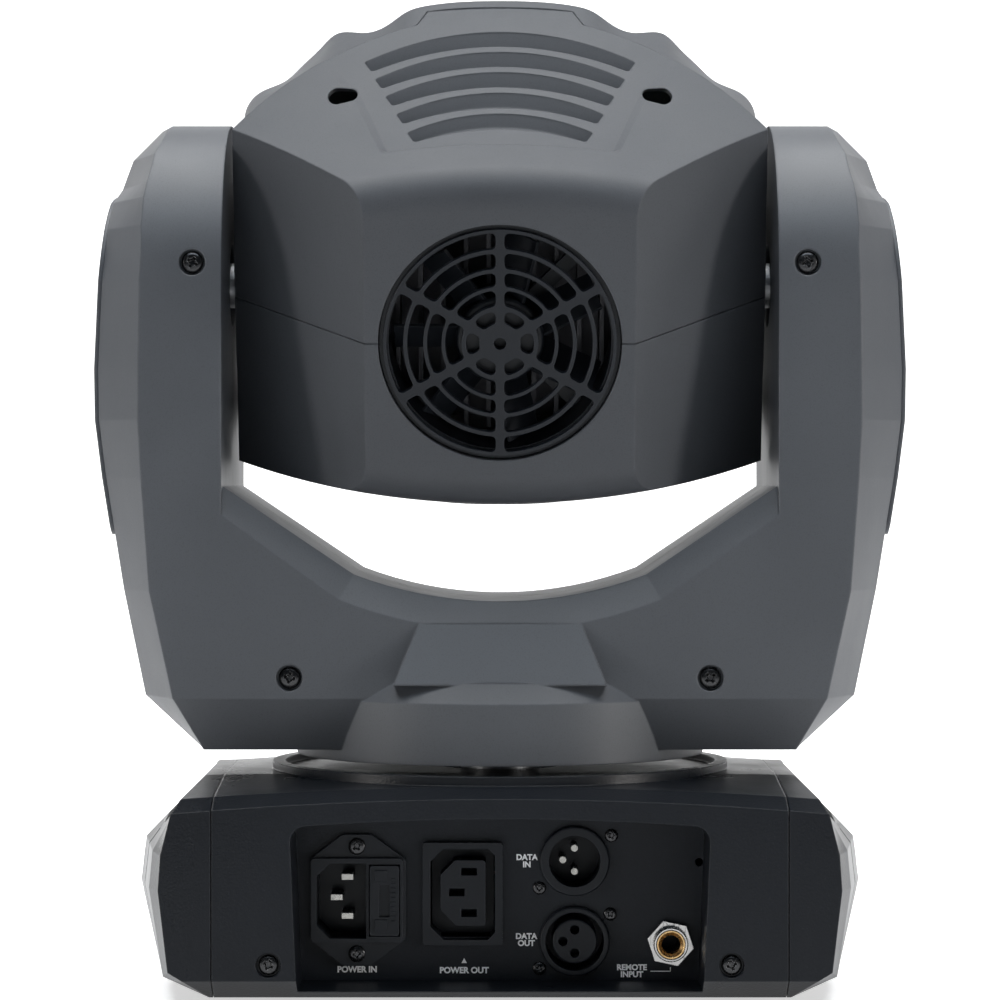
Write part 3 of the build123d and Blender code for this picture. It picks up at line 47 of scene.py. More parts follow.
# ---------------------------------------------------------------- node materials
class Look:
    """A Principled material whose textures are laid out in the object's own metres."""

    def __init__(self, name, **constants):
        self.material = bpy.data.materials.new(name)
        self.material.use_nodes = True
        self.tree = self.material.node_tree
        self.shader = self.tree.nodes["Principled BSDF"]
        for socket, value in constants.items():
            self.shader.inputs[socket.replace("_", " ")].default_value = value
        self.place = self.node("TexCoord").outputs["Object"]

    def node(self, kind, inputs=None, **settings):
        made = self.tree.nodes.new("ShaderNode" + kind)
        for key, value in settings.items():
            setattr(made, key, value)
        for key, value in (inputs or {}).items():
            if isinstance(value, bpy.types.NodeSocket):
                self.tree.links.new(value, made.inputs[key])
            else:
                made.inputs[key].default_value = value
        return made

    def drive(self, socket, value):
        self.tree.links.new(value, self.shader.inputs[socket])

    def noise(self, scale, detail=3.0, rough=0.55, place=None):
        inputs = {"Vector": place or self.place, "Scale": scale, "Detail": detail, "Roughness": rough}
        return self.node("TexNoise", inputs).outputs["Fac"]

    def cells(self, scale, feature="F1", place=None, jitter=1.0):
        inputs = {"Vector": place or self.place, "Scale": scale, "Randomness": jitter}
        return self.node("TexVoronoi", inputs, feature=feature).outputs["Distance"]

    def stretched(self, x, y, z):
        """The object's own place, squeezed along its axes."""
        return self.node("Mapping", {"Vector": self.place, "Scale": (x, y, z)}).outputs["Vector"]

    def span(self, value, low, high, to_low=0.0, to_high=1.0):
        inputs = {"Value": value, "From Min": low, "From Max": high, "To Min": to_low, "To Max": to_high}
        return self.node("MapRange", inputs, interpolation_type="SMOOTHSTEP").outputs["Result"]

    def calc(self, operation, a, b=0.0):
        return self.node("Math", {0: a, 1: b}, operation=operation, use_clamp=False).outputs[0]

    def mix(self, factor, a, b):
        return self.node("Mix", {0: factor, 6: a, 7: b}, data_type="RGBA").outputs[2]

    def bump(self, height, deep, strength=1.0, normal=None):
        inputs = {"Height": height, "Distance": deep, "Strength": strength}
        if normal:
            inputs["Normal"] = normal
        return self.node("Bump", inputs).outputs["Normal"]

    def rounded(self, radius, samples=4):
        return self.node("Bevel", {"Radius": radius}, samples=samples).outputs["Normal"]

    def edges(self, radius):
        """1 on edges and 0 on flats; the callers break it up with noise so that it looks like handling."""
        flat = self.node("NewGeometry").outputs["Normal"]
        ends = {0: self.rounded(radius), 1: flat}
        turned = self.node("VectorMath", ends, operation="DOT_PRODUCT").outputs["Value"]
        return self.span(turned, 0.985, 0.80)


METAL_EDGE = 0.25 * MM  # how round the shader makes a metal edge
METAL_WEAR = 0.5


def grey(level, blue=0.0):
    return (level, level * (1 + 0.35 * blue), level * (1 + blue), 1.0)


def moulded(name, level, blue, rough, grain, deep, speckle=0.0, worn=0.35, soft_edge=0.5, coat=0.0,
            patch=0.10, shine=0.5):
    """Moulded plastic: pebbled grain, a little mottling, and edges polished by hands."""
    look = Look(name, Roughness=rough, IOR=1.5, Specular_IOR_Level=shine, Coat_Weight=coat,
                Coat_Roughness=0.2)
    patches = look.span(look.noise(14, 4), 0.32, 0.68)
    streaks = look.noise(60, 3, 0.7, look.stretched(1, 1, 0.25))
    pebbles = look.cells(1 / grain)
    fine = look.noise(2.2 / grain, 2)
    flat = look.mix(patches, grey(level * (1 - patch), blue), grey(level * (1 + patch), blue))
    flecks = look.span(look.cells(0.45 / grain), 0.16, 0.06)
    flecks = look.calc("MULTIPLY", flecks, speckle)
    flat = look.mix(flecks, flat, grey(min(1, level * 3.2), blue * 0.5))
    pits = look.calc("MULTIPLY", look.span(pebbles, 0.45, 0.95), 0.28)
    flat = look.mix(pits, flat, grey(level * 0.45, blue))
    edge = look.calc("MULTIPLY", look.edges(1.1 * MM), look.span(look.noise(180, 4), 0.35, 0.7))
    edge = look.calc("MULTIPLY", edge, worn)
    look.drive("Base Color", look.mix(edge, flat, grey(min(1, level * 2.4), blue)))
    gloss = look.calc("ADD", look.calc("MULTIPLY", patches, 0.07), look.calc("MULTIPLY", streaks, 0.10))
    gloss = look.calc("ADD", gloss, rough - 0.08)
    gloss = look.calc("SUBTRACT", gloss, look.calc("MULTIPLY", edge, 0.25))
    look.drive("Roughness", gloss)
    normal = look.rounded(soft_edge * MM)
    normal = look.bump(pebbles, deep, 0.8, normal)
    look.drive("Normal", look.bump(fine, deep * 0.5, 0.6, normal))
    return look.material


def metal(name, colour, rough, brushed=(1, 1, 1), scratch=0.12, tint=None, metallic=1.0):
    """Metal with a brushed or turned grain, fine scratches and rubbed edges."""
    look = Look(name, Metallic=metallic, Roughness=rough)
    lines = look.noise(900, 4, 0.7, look.stretched(*brushed))
    clouds = look.span(look.noise(35, 4), 0.3, 0.7)
    nicks = look.span(look.cells(240, "DISTANCE_TO_EDGE", look.stretched(1, 1, 0.3)), 0.03, 0.0)
    dark = tuple(c * 0.82 for c in colour) + (1.0,)
    body = look.mix(clouds, dark, tuple(colour) + (1.0,))
    edge = look.calc("MULTIPLY", look.edges(0.5 * MM), look.span(look.noise(400, 3), 0.3, 0.65))
    rubbed = tint or tuple(min(1, c * 1.5 + 0.1) for c in colour) + (1.0,)
    body = look.mix(look.calc("MULTIPLY", edge, METAL_WEAR), body, rubbed)
    look.drive("Base Color", body)
    gloss = look.calc("ADD", look.calc("MULTIPLY", lines, scratch), look.calc("MULTIPLY", clouds, 0.08))
    gloss = look.calc("ADD", gloss, look.calc("MULTIPLY", nicks, 0.15))
    look.drive("Roughness", look.calc("ADD", gloss, max(0.03, rough - 0.08)))
    normal = look.bump(lines, 0.02 * MM, 0.35, look.rounded(METAL_EDGE))
    look.drive("Normal", look.bump(nicks, 0.02 * MM, 0.4, normal))
    return look.material


def glass(name, colour, rough, coat):
    """Clear glass with a faint coating bloom and a little dust."""
    look = Look(name, Roughness=rough, IOR=1.5, Transmission_Weight=1.0, Coat_Weight=coat,
                Coat_Roughness=0.03)
    bloom = look.span(look.noise(16, 2), 0.3, 0.7)
    tinted = tuple(colour) + (1.0,)
    cooler = (colour[0] * 0.94, colour[1] * 0.97, colour[2], 1.0)
    look.drive("Base Color", look.mix(bloom, tinted, cooler))
    dust = look.span(look.cells(700), 0.12, 0.02)
    look.drive("Roughness", look.calc("ADD", look.calc("MULTIPLY", dust, 0.3), rough))
    look.drive("Normal", look.bump(look.noise(120, 2), 0.01 * MM, 0.2))
    return look.material


def board(name):
    """Circuit board: solder mask, copper runs under it and bright pads."""
    look = Look(name, Roughness=0.4, Coat_Weight=0.4, Coat_Roughness=0.15)
    runs = look.node("TexBrick", {"Vector": look.stretched(1, 1, 1), "Scale": 160.0, "Mortar Size": 0.02,
                                  "Color1": (0.01, 0.09, 0.04, 1), "Color2": (0.015, 0.12, 0.05, 1),
                                  "Mortar": (0.04, 0.2, 0.09, 1)}).outputs["Color"]
    pads = look.span(look.cells(190, jitter=0.6), 0.16, 0.12)
    look.drive("Base Color", look.mix(pads, runs, (0.55, 0.5, 0.42, 1)))
    look.drive("Metallic", pads)
    look.drive("Roughness", look.calc("ADD", look.calc("MULTIPLY", look.noise(80), 0.2), 0.25))
    look.drive("Normal", look.bump(pads, 0.1 * MM, 0.6))
    return look.material


def phosphor(name):
    """The light source: yellow phosphor in square cells under a clear skin."""
    look = Look(name, Roughness=0.35, Coat_Weight=0.8, Coat_Roughness=0.05)
    chips = look.node("TexBrick", {"Vector": look.place, "Scale": 330.0, "Mortar Size": 0.03,
                                   "Row Height": 0.5, "Brick Width": 0.5, "Color1": (0.80, 0.62, 0.10, 1),
                                   "Color2": (0.72, 0.55, 0.08, 1), "Mortar": (0.75, 0.75, 0.72, 1)})
    chips = chips.outputs["Color"]
    look.drive("Base Color", look.mix(look.noise(300), chips, (0.85, 0.72, 0.2, 1)))
    look.drive("Normal", look.bump(look.noise(900), 0.03 * MM, 0.4))
    return look.material


def print_ink(name, level):
    """Screen-printed legend ink, slightly uneven."""
    look = Look(name, Roughness=0.55)
    patchy = look.span(look.noise(900, 4), 0.35, 0.65)
    thin = look.span(look.cells(2600), 0.12, 0.02)
    ink = look.mix(patchy, grey(level * 0.86, 0.02), grey(level, 0.02))
    look.drive("Base Color", look.mix(look.calc("MULTIPLY", thin, 0.5), ink, grey(0.1)))
    look.drive("Roughness", look.calc("ADD", look.calc("MULTIPLY", patchy, 0.15), 0.45))
    look.drive("Normal", look.bump(look.noise(3000, 2), 0.01 * MM, 0.5))
    return look.material


LOOKS = {
    "charcoal_plastic": moulded("charcoal_plastic", 0.060, 0.22, 0.48, 0.42 * MM, 0.016 * MM, patch=0.05,
                                soft_edge=1.0),
    "head_plastic": moulded("head_plastic", 0.054, 0.20, 0.48, 0.42 * MM, 0.016 * MM, patch=0.05,
                            soft_edge=1.0, shine=0.25),
    "base_plastic": moulded("base_plastic", 0.0070, 0.60, 0.31, 0.85 * MM, 0.040 * MM, speckle=0.45,
                            soft_edge=0.8, shine=0.2),
    "black_plastic": moulded("black_plastic", 0.0115, 0.45, 0.34, 0.30 * MM, 0.008 * MM, worn=0.5,
                             soft_edge=0.35, shine=0.2),
    "button_plastic": moulded("button_plastic", 0.020, 0.05, 0.36, 0.30 * MM, 0.006 * MM, coat=0.3),
    "rubber": moulded("rubber", 0.014, 0.0, 0.80, 0.60 * MM, 0.04 * MM, worn=0.2),
    "belt": moulded("belt", 0.012, 0.0, 0.75, 0.70 * MM, 0.05 * MM, worn=0.2),
    "plate_paint": moulded("plate_paint", 0.011, 0.55, 0.42, 0.50 * MM, 0.030 * MM, speckle=0.35,
                           worn=0.5, shine=0.2),
    "screw_black": metal("screw_black", (0.06, 0.06, 0.062), 0.20, (1, 1, 1), 0.12,
                         (0.45, 0.45, 0.46, 1), metallic=0.9),
    "chrome": metal("chrome", (0.50, 0.49, 0.48), 0.16, (0.3, 1, 0.3), 0.10),
    "gold_contact": metal("gold_contact", (0.80, 0.52, 0.24), 0.24, (1, 0.2, 1), 0.12),
    "silver_contact": metal("silver_contact", (0.46, 0.45, 0.42), 0.26, (1, 0.2, 1), 0.12),
    "steel": metal("steel", (0.55, 0.56, 0.58), 0.35, (1, 0.05, 1), 0.25),
    "motor_steel": metal("motor_steel", (0.05, 0.05, 0.055), 0.4, (1, 1, 0.1), 0.2, metallic=0.7),
    "aluminium": metal("aluminium", (0.72, 0.73, 0.75), 0.3, (0.1, 1, 1), 0.22),
    "heat_sink": metal("heat_sink", (0.06, 0.06, 0.065), 0.42, (0.1, 1, 1), 0.2, metallic=0.8),
    "wheel_paint": metal("wheel_paint", (0.03, 0.03, 0.032), 0.5, (1, 1, 1), 0.15, metallic=0.4),
    "lens_glass": glass("lens_glass", (0.97, 0.99, 1.0), 0.0, 0.3),
    "fuse_glass": glass("fuse_glass", (0.95, 0.98, 0.98), 0.02, 0.0),
    "display_glass": glass("display_glass", (0.30, 0.36, 0.45), 0.02, 0.6),
    "circuit": board("circuit"),
    "led_white": phosphor("led_white"),
}
INK = print_ink("legend_ink", 0.95)

for name, node in NODES.items():
    slot_name = node.data.materials[0].name.split(".")[0]
    node.data.materials[0] = LOOKS[slot_name]


# ---------------------------------------------------------------- shaping helpers
def put(name, mesh, body, slot_name, material=None, crease=35):
    """Make an object of a mesh that is already in place, and hang it on its body."""
    piece = bpy.data.objects.new(name, mesh)
    bpy.context.scene.collection.objects.link(piece)
    mesh.materials.clear()
    mesh.materials.append(material or LOOKS[slot_name])
    for face in mesh.polygons:
        face.use_smooth = True
    mesh.set_sharp_from_angle(angle=math.radians(crease))
    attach(piece, body)
    return piece


def frame_at(origin, normal, up):
    """A matrix that takes z to the normal and y as near as it can to up."""
    z = Vector(normal).normalized()
    x = Vector(up).cross(z).normalized()
    return Matrix.Translation(origin) @ Matrix((x, z.cross(x), z)).transposed().to_4x4()


def rear(x, y, z):
    """A place on a surface that faces +Y, from millimetres."""
    return frame_at(Vector((x, y, z)) * MM, (0, 1, 0), (0, 0, 1))


def front(x, y, z):
    """A place on a surface that faces -Y, from millimetres."""
    return frame_at(Vector((x, y, z)) * MM, (0, -1, 0), (0, 0, 1))


def head_place(u, v, w):
    """A place in the head, facing along the beam."""
    origin = TILT_AXIS + (Vector((1, 0, 0)) * u + HEAD_UP * v + BEAM * w) * MM
    return frame_at(origin, BEAM, HEAD_UP)


def as_mesh(name, bm):
    """A mesh of a bmesh, which is used up."""
    mesh = bpy.data.meshes.new(name)
    bm.normal_update()
    bm.to_mesh(mesh)
    bm.free()
    return mesh


def lathe(profile, steps):
    """A solid of revolution about z of a closed or axis-to-axis profile of (radius, height) in mm."""
    bm = bmesh.new()
    rings = []
    for step in range(steps):
        angle = 2 * math.pi * step / steps
        ring = []
        for r, h in profile:
            if r < 1e-6 and step:
                ring.append(rings[0][len(ring)])
            else:
                ring.append(bm.verts.new((r * MM * math.cos(angle), r * MM * math.sin(angle), h * MM)))
        rings.append(ring)
    closed = profile[0][0] > 1e-6
    for step in range(steps):
        a, b = rings[step], rings[(step + 1) % steps]
        for k in range(len(profile) if closed else len(profile) - 1):
            m = (k + 1) % len(profile)
            corners = []
            for v in (a[k], b[k], b[m], a[m]):
                if v not in corners:
                    corners.append(v)
            if len(corners) > 2:
                bm.faces.new(corners)
    bmesh.ops.recalc_face_normals(bm, faces=bm.faces)
    return bm


def evaluated(piece, name):
    """The piece's mesh with its modifiers applied; the piece itself is removed."""
    bpy.context.view_layer.update()
    found = piece.evaluated_get(bpy.context.evaluated_depsgraph_get())
    mesh = bpy.data.meshes.new_from_object(found)
    mesh.name = name
    bpy.data.objects.remove(piece)
    return mesh


def carved(bm, cutters, name):
    """A bmesh cut by others."""
    piece = bpy.data.objects.new(name, as_mesh(name, bm))
    bpy.context.scene.collection.objects.link(piece)
    tools = []
    for cutter in cutters:
        tool = bpy.data.objects.new(name + "_tool", as_mesh(name + "_tool", cutter))
        bpy.context.scene.collection.objects.link(tool)
        cut = piece.modifiers.new("cut", "BOOLEAN")
        cut.operation, cut.solver, cut.object = "DIFFERENCE", "EXACT", tool
        tools.append(tool)
    mesh = evaluated(piece, name)
    for tool in tools:
        bpy.data.objects.remove(tool)
    return mesh


def tapered_box(half_x, half_y, depth, end_x, end_y, top):
    """A block that narrows from its top down to its end."""
    bm = bmesh.new()
    corners = ((-1, -1), (1, -1), (1, 1), (-1, 1))
    upper = [bm.verts.new((x * half_x, y * half_y, top)) for x, y in corners]
    lower = [bm.verts.new((x * end_x, y * end_y, top - depth)) for x, y in corners]
    bm.faces.new(upper)
    bm.faces.new(lower[::-1])
    for k in range(4):
        m = (k + 1) % 4
        bm.faces.new((upper[m], upper[k], lower[k], lower[m]))
    bmesh.ops.recalc_face_normals(bm, faces=bm.faces)
    return bm


def joined(parts, name):
    """One mesh of many (mesh, matrix) pairs."""
    bm = bmesh.new()
    for mesh, matrix in parts:
        before = len(bm.verts)
        bm.from_mesh(mesh)
        bm.verts.ensure_lookup_table()
        bmesh.ops.transform(bm, matrix=matrix, verts=bm.verts[before:])
    return as_mesh(name, bm)


# ---------------------------------------------------------------- screws
SCREW_DEEP, SCREW_TIP = 4, 4.6  # how far a shank and its point reach below the head


def cross_screw(name, radius, high, shank):
    """A pan-head screw with a cross recess, its head standing on z = 0."""
    r, h = radius, high
    head = [(0, h), (r * 0.35, h * 0.985), (r * 0.62, h * 0.93), (r * 0.82, h * 0.80), (r * 0.94, h * 0.58),
            (r, h * 0.30), (r, h * 0.08), (r * 0.96, 0)]
    profile = head + [(shank, 0), (shank, -SCREW_DEEP), (shank * 0.6, -SCREW_TIP), (0, -SCREW_TIP)]
    arm, wide, deep = 0.56 * r * MM, 0.15 * r * MM, 0.85 * h * MM
    top = (h + 0.05) * MM
    cutters = [tapered_box(arm, wide, deep, arm * 0.45, wide * 0.8, top),
               tapered_box(wide, arm, deep, wide * 0.8, arm * 0.45, top),
               tapered_box(wide * 1.9, wide * 1.9, deep * 0.8, wide, wide, top)]
    return carved(lathe(profile, 48), cutters, name)


SCREW_TURNS = (17, 62, 38, 80)


def screw_group(name, body, node, points, shape):
    """Screws that stand for a CAD node, each turned its own way."""
    turns = (math.radians(degrees) for degrees in SCREW_TURNS)
    parts = [(shape, place @ Matrix.Rotation(turn, 4, "Z")) for place, turn in zip(points, turns)]
    piece = put(name, joined(parts, name), body, "screw_black")
    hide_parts(node)


big_screw = cross_screw("big_screw", 3.8, 1.8, 1.55)
base_screw = cross_screw("base_screw", 3.4, 1.6, 1.45)
flange_screw = cross_screw("flange_screw", 2.9, 1.2, 1.2)
small_screw = cross_screw("small_screw", 2.3, 1.2, 1.2)

YOKE_SCREWS = ((105.8, 252.0), (72.4, 109.1))
YOKE_SCREW_Y = 54.4
BASE_SCREW = (77.4, 92.8, 15.2)
screw_group("yoke_screw_heads", "yoke", "yoke_screws",
            [rear(side * x, YOKE_SCREW_Y, z) for x, z in YOKE_SCREWS for side in (-1, 1)], big_screw)
screw_group("base_screw_heads", "base", "base_screws",
            [rear(side * BASE_SCREW[0], *BASE_SCREW[1:]) for side in (-1, 1)], base_screw)
DATA_SCREWS = ((-13.5, 37.2), (-38.2, 55.2), (-37.8, 28.3), (-13.5, 9.7))
INLET_SCREWS = ((49.0, 51.8), (49.0, 15.0))
PLATE_Y, INLET_FLANGE_Y = 60, 62.5
plate_screws = [(small_screw, rear(x, PLATE_Y, z) @ Matrix.Rotation(0.4 * k, 4, "Z"))
                for k, (x, z) in enumerate(DATA_SCREWS)]
plate_screws += [(flange_screw, rear(x, INLET_FLANGE_Y, z) @ Matrix.Rotation(0.7 + k, 4, "Z"))
                 for k, (x, z) in enumerate(INLET_SCREWS)]
piece = put("connector_screw_heads", joined(plate_screws, "connector_screw_heads"), "base", "screw_black")
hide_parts("connector_screws")


# ---------------------------------------------------------------- printed legends
CAPITALS = 0.70  # the capitals' share of the font's size
BOLD = 0.06  # how much the strokes are widened, as a share of the capitals' height
INK_THICK = 0.03 * MM


def lettering(words, place, high):
    """Flat raised lettering as a mesh; high is the capitals' height in mm."""
    curve = bpy.data.curves.new("lettering", "FONT")
    curve.body = words
    curve.align_x, curve.align_y = "CENTER", "CENTER"
    curve.size = high * MM / CAPITALS
    curve.offset = BOLD * high * MM
    curve.extrude = INK_THICK
    curve.resolution_u = 4
    letters = bpy.data.objects.new("lettering", curve)
    bpy.context.scene.collection.objects.link(letters)
    mesh = evaluated(letters, "lettering")
    bpy.data.curves.remove(curve)
    return mesh, place


def bar(x0, x1, z0, z1, y, thick=0.06):
    """A thin printed bar on a surface that faces +Y."""
    bm = bmesh.new()
    bmesh.ops.create_cube(bm, size=1.0)
    size = Matrix.Diagonal((abs(x1 - x0) * MM, thick * MM, abs(z1 - z0) * MM, 1))
    where = Matrix.Translation(Vector(((x0 + x1) / 2, y, (z0 + z1) / 2)) * MM)
    bmesh.ops.transform(bm, matrix=where @ size, verts=bm.verts)
    return as_mesh("bar", bm), Matrix.Identity(4)


def triangle(x, z, size, y):
    """A printed arrowhead that points up, on a surface that faces +Y."""
    bm = bmesh.new()
    corners = [(x - size / 2, z - size * 0.4), (x + size / 2, z - size * 0.4), (x, z + size * 0.5)]
    near = [bm.verts.new(Vector((a, y - 0.03, b)) * MM) for a, b in corners]
    far = [bm.verts.new(Vector((a, y + 0.03, b)) * MM) for a, b in corners]
    bm.faces.new(near)
    bm.faces.new(far[::-1])
    for k in range(3):
        m = (k + 1) % 3
        bm.faces.new((near[k], near[m], far[m], far[k]))
    bmesh.ops.recalc_face_normals(bm, faces=bm.faces)
    return as_mesh("triangle", bm), Matrix.Identity(4)


INK_Y = 60.02
legends = [
    lettering("POWER IN", rear(49.0, INK_Y, 9.2), 2.0),
    lettering("POWER OUT", rear(12.3, INK_Y, 8.9), 2.0),
    triangle(12.3, 12.2, 1.9, INK_Y),
    lettering("DATA", rear(-9.2, INK_Y, 47.7), 1.9),
    lettering("IN", rear(-9.2, INK_Y, 45.2), 1.9),
    lettering("DATA", rear(-9.0, INK_Y, 20.6), 1.9),
    lettering("OUT", rear(-9.0, INK_Y, 18.2), 1.9),
    lettering("REMOTE", rear(-45.2, INK_Y, 9.9), 1.9),
    lettering("INPUT", rear(-45.2, INK_Y, 7.5), 1.9),
    bar(-51.6, -58.6, 8.5, 8.8, INK_Y),
    bar(-58.3, -58.6, 8.5, 10.0, INK_Y),
]
put("plate_legends", joined(legends, "plate_legends"), "base", "plate_paint", INK, 60)

# ---------------------------------------------------------------- display and buttons


def block(x0, x1, y0, y1, z0, z1):
    """A plain box between two corners, in mm."""
    bm = bmesh.new()
    bmesh.ops.create_cube(bm, size=1.0)
    size = Matrix.Diagonal((abs(x1 - x0) * MM, abs(y1 - y0) * MM, abs(z1 - z0) * MM, 1))
    where = Matrix.Translation(Vector(((x0 + x1) / 2, (y0 + y1) / 2, (z0 + z1) / 2)) * MM)
    bmesh.ops.transform(bm, matrix=where @ size, verts=bm.verts)
    return as_mesh("block", bm), Matrix.Identity(4)


def liquid_crystal(name):
    """A dark blue display whose cells show as a fine grid."""
    look = Look(name, Roughness=0.22, Coat_Weight=0.6, Coat_Roughness=0.04)
    upright = look.node("Mapping", {"Vector": look.place, "Rotation": (math.pi / 2, 0, 0)}).outputs["Vector"]
    cells = look.node("TexBrick", {"Vector": upright, "Scale": 900.0, "Mortar Size": 0.03, "Row Height": 0.5,
                                   "Brick Width": 0.5, "Color1": (0.010, 0.022, 0.085, 1),
                                   "Color2": (0.012, 0.026, 0.095, 1), "Mortar": (0.004, 0.008, 0.03, 1)})
    cells = cells.outputs["Color"]
    look.drive("Base Color", look.mix(look.span(look.noise(50), 0.4, 0.6), cells, (0.012, 0.03, 0.11, 1)))
    look.drive("Roughness", look.calc("ADD", look.calc("MULTIPLY", look.noise(400), 0.1), 0.18))
    return look.material


DISPLAY_X, DISPLAY_Z, PANEL_Y = -24.0, 40.0, -89.6
PANEL_HALF_X, PANEL_HALF_Z, PANEL_THICK = 29, 10.5, 1.1
panel = [block(DISPLAY_X - PANEL_HALF_X, DISPLAY_X + PANEL_HALF_X, PANEL_Y + PANEL_THICK, PANEL_Y,
               DISPLAY_Z - PANEL_HALF_Z, DISPLAY_Z + PANEL_HALF_Z)]
put("display_panel", joined(panel, "display_panel"), "base", "display_glass",
    liquid_crystal("liquid_crystal"), 30)

SEGMENTS = {"0": "abcdef", "1": "bc", "A": "abcefg"}


def digit(shape, x, z, wide=6.0, high=11.0, stroke=1.1):
    """A seven-segment figure as thin bars, seen from -Y."""
    across, up = wide / 2, high / 2
    places = {"a": (0, up, 1), "b": (-across, up / 2, 0), "c": (-across, -up / 2, 0), "d": (0, -up, 1),
              "e": (across, -up / 2, 0), "f": (across, up / 2, 0), "g": (0, 0, 1)}
    bars = []
    for key in SEGMENTS[shape]:
        dx, dz, flat = places[key]
        half_x = across - stroke * 0.6 if flat else stroke / 2
        half_z = stroke / 2 if flat else up / 2 - stroke * 0.6
        bars.append(block(x + dx - half_x, x + dx + half_x, PANEL_Y, PANEL_Y - 0.08,
                          z + dz - half_z, z + dz + half_z))
    return bars


figures = []
for k, shape in enumerate("A001"):
    figures += digit(shape, DISPLAY_X + 13.5 - 9 * k, DISPLAY_Z)
put("display_figures", joined(figures, "display_figures"), "base", "display_glass", INK, 30)

FRONT_Y, CAPTION_Z, CAPTION_HIGH = -95.02, 48.6, 1.8
captions = [lettering(words, front(x, FRONT_Y, CAPTION_Z), CAPTION_HIGH) for words, x in
            (("MENU", 30.0), ("DOWN", 43.0), ("UP", 56.0), ("ENTER", 69.0))]
put("button_captions", joined(captions, "button_captions"), "base", "base_plastic", INK, 60)

# ---------------------------------------------------------------- fuse drawer
DRAWER_Y = 65.6
grips = [block(38.4, 42.8, DRAWER_Y - 0.2, DRAWER_Y + 0.45, 40.0, 43.8),
         block(38.4, 42.8, DRAWER_Y - 0.2, DRAWER_Y + 0.45, 23.4, 27.0)]
grips += [block(35.6, 37.2, DRAWER_Y - 0.2, DRAWER_Y + 0.3, 26 + 1.6 * k, 26.7 + 1.6 * k) for k in range(10)]
put("drawer_grips", joined(grips, "drawer_grips"), "fuse_drawer", "black_plastic", None, 30)

# ---------------------------------------------------------------- filters and patterns on the wheels
WHEEL_OFFSET, COLOUR_MID_W, GOBO_MID_W = 30.0, -5.25, 2.75


def wheel_places(v, w):
    """The seven filled holes of a wheel; the eighth, on the beam, stays open."""
    turns = [math.pi / 2 + math.pi / 4 * k for k in range(8)]
    return [head_place(WHEEL_OFFSET * math.cos(a), v + WHEEL_OFFSET * math.sin(a), w) for a in turns
            if abs(v + WHEEL_OFFSET * math.sin(a)) > 1 or abs(math.cos(a)) > 0.1]


FILTERS = ((0.9, 0.03, 0.02), (0.95, 0.35, 0.02), (0.95, 0.8, 0.05), (0.05, 0.7, 0.12), (0.05, 0.65, 0.85),
           (0.03, 0.08, 0.85), (0.8, 0.05, 0.55))
for k, (place, colour) in enumerate(zip(wheel_places(-WHEEL_OFFSET, COLOUR_MID_W), FILTERS)):
    outline = [(0, 0.3), (8.1, 0.3), (8.4, 0.15), (8.4, -0.15), (8.1, -0.3), (0, -0.3)]
    disc = as_mesh("filter", lathe(outline, 48))
    put("colour_filter_%d" % (k + 1), joined([(disc, place)], "colour_filter"), "colour_wheel", "lens_glass",
        glass("filter_%d" % (k + 1), colour, 0.03, 0.4))

patterns = []
for k, place in enumerate(wheel_places(WHEEL_OFFSET, GOBO_MID_W)):
    ring = as_mesh("ring", lathe([(4.9, 0.15), (6.45, 0.15), (6.45, -0.15), (4.9, -0.15)], 48))
    hub = as_mesh("hub", lathe([(0, 0.13), (0.6 + 0.25 * k, 0.13), (0.6 + 0.25 * k, -0.13), (0, -0.13)], 24))
    patterns += [(ring, place), (hub, place)]
    for turn in range(k + 3):
        spoke = block(0, 5.2, -0.2 - 0.05 * k, 0.2 + 0.05 * k, -0.1, 0.1)[0]
        patterns.append((spoke, place @ Matrix.Rotation(2 * math.pi * turn / (k + 3), 4, "Z")))
put("gobo_patterns", joined(patterns, "gobo_patterns"), "gobo_wheel", "steel")

# ---------------------------------------------------------------- camera, stage and light
CAMERA_PLACE = Vector((0, 1.350, 0.1806))
CAMERA_DOWN = 0.457  # degrees under level
camera_data = bpy.data.cameras.new("camera")
camera_data.sensor_width = 36
camera_data.lens = 135.5
camera_data.clip_start = 0.05
camera = bpy.data.objects.new("camera", camera_data)
bpy.context.scene.collection.objects.link(camera)
turned = Matrix.Rotation(math.pi, 4, "Z")
tilted = Matrix.Rotation(math.radians(90 - CAMERA_DOWN), 4, "X")
camera.matrix_world = Matrix.Translation(CAMERA_PLACE) @ turned @ tilted
bpy.context.scene.camera = camera


def pale(name):
    """Matt white stage paint that glows a little under and behind the light."""
    look = Look(name, Roughness=0.9, Specular_IOR_Level=0.1, Emission_Color=(1, 1, 1, 1))
    behind = look.node("SeparateXYZ", {"Vector": look.place}).outputs["Y"]
    look.drive("Base Color", look.mix(look.noise(3), (0.76, 0.755, 0.75, 1), (0.80, 0.795, 0.79, 1)))
    near = look.span(behind, 0.15, 0.07, 0.0, 0.55)
    look.drive("Emission Strength", look.calc("ADD", near, look.span(behind, 0.05, -0.75, 0.0, 0.45)))
    return look.material


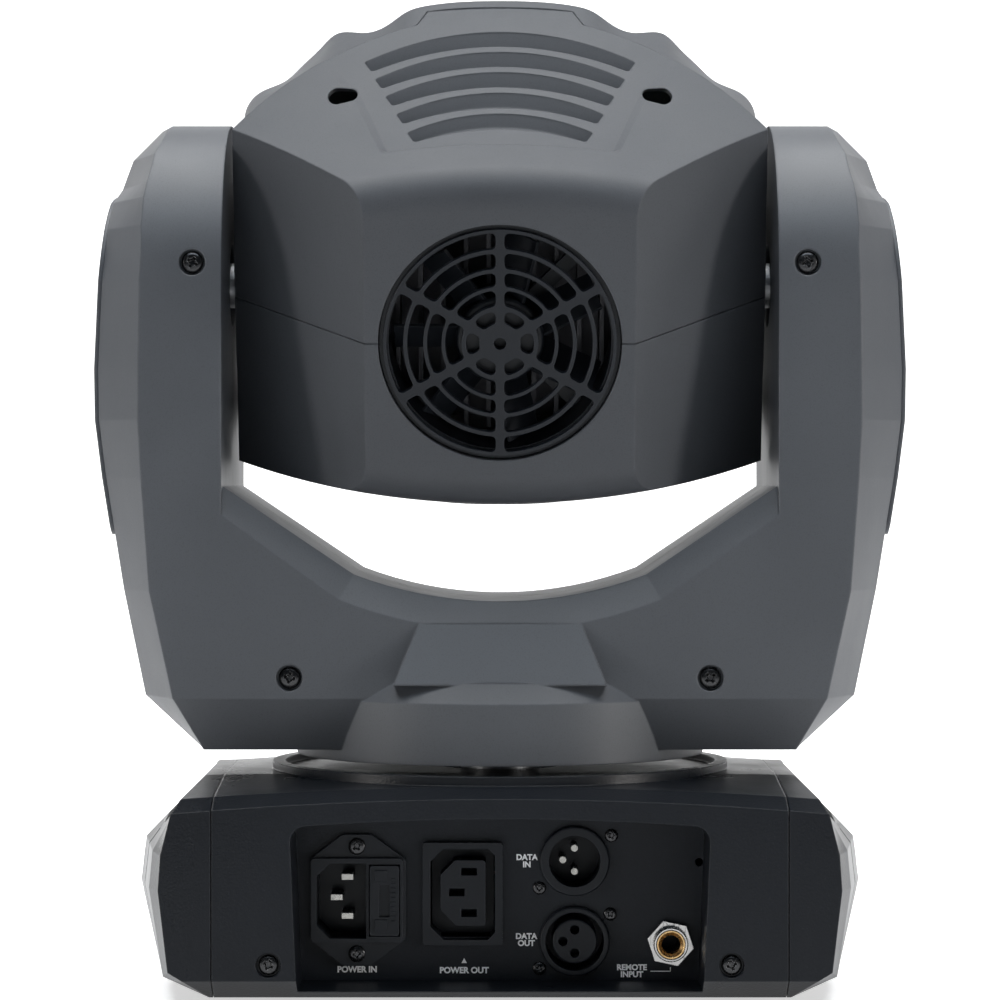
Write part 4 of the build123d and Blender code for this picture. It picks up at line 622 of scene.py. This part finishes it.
def stage_sheet():
    """A floor that sweeps up into the backdrop behind the light."""
    bm = bmesh.new()
    reach, back, cove = 4.0, -3.2, 1.0
    line = [(3.6, 0.0), (back + cove, 0.0)]
    line += [(back + cove - cove * math.sin(a), cove - cove * math.cos(a)) for a in
             [math.pi / 2 * k / 12 for k in range(1, 13)]]
    line.append((back, 3.5))
    rows = [[bm.verts.new((x, y, z)) for x in (-reach, reach)] for y, z in line]
    for a, b in zip(rows, rows[1:]):
        bm.faces.new((a[0], a[1], b[1], b[0]))
    bmesh.ops.recalc_face_normals(bm, faces=bm.faces)
    return as_mesh("stage_sheet", bm)


sheet = bpy.data.objects.new("stage_sheet", stage_sheet())
bpy.context.scene.collection.objects.link(sheet)
sheet.data.materials.append(pale("stage_white"))
for face in sheet.data.polygons:
    face.use_smooth = True


def softbox(name, place, aim, wide, high, watts, colour):
    """A rectangular lamp aimed at a place."""
    data = bpy.data.lights.new(name, "AREA")
    data.shape, data.size, data.size_y, data.energy, data.color = "RECTANGLE", wide, high, watts, colour
    lamp = bpy.data.objects.new(name, data)
    bpy.context.scene.collection.objects.link(lamp)
    lamp.location = place
    lamp.rotation_euler = (Vector(aim) - Vector(place)).to_track_quat("-Z", "Y").to_euler()


MIDDLE = (0, 0, 0.22)
WARM = (1.0, 0.965, 0.93)
softbox("overhead", (0, -0.02, 1.55), (0, -0.02, 0.2), 1.9, 1.25, 41, (0.98, 0.99, 1.0))
softbox("front_top", (0, 0.95, 1.45), MIDDLE, 1.5, 0.35, 8.0, (0.80, 0.90, 1.0))
softbox("left_strip", (1.4, 0.66, 0.26), MIDDLE, 0.3, 0.5, 6.5, WARM)
softbox("right_strip", (-1.4, 0.66, 0.26), MIDDLE, 0.3, 0.5, 9.5, WARM)

world = bpy.data.worlds.new("studio")
bpy.context.scene.world = world
world.use_nodes = True
tree = world.node_tree
tree.nodes["Background"].inputs["Color"].default_value = (0.62, 0.82, 1.0, 1)
tree.nodes["Background"].inputs["Strength"].default_value = 0.05
bpy.context.scene.view_settings.view_transform = "Standard"
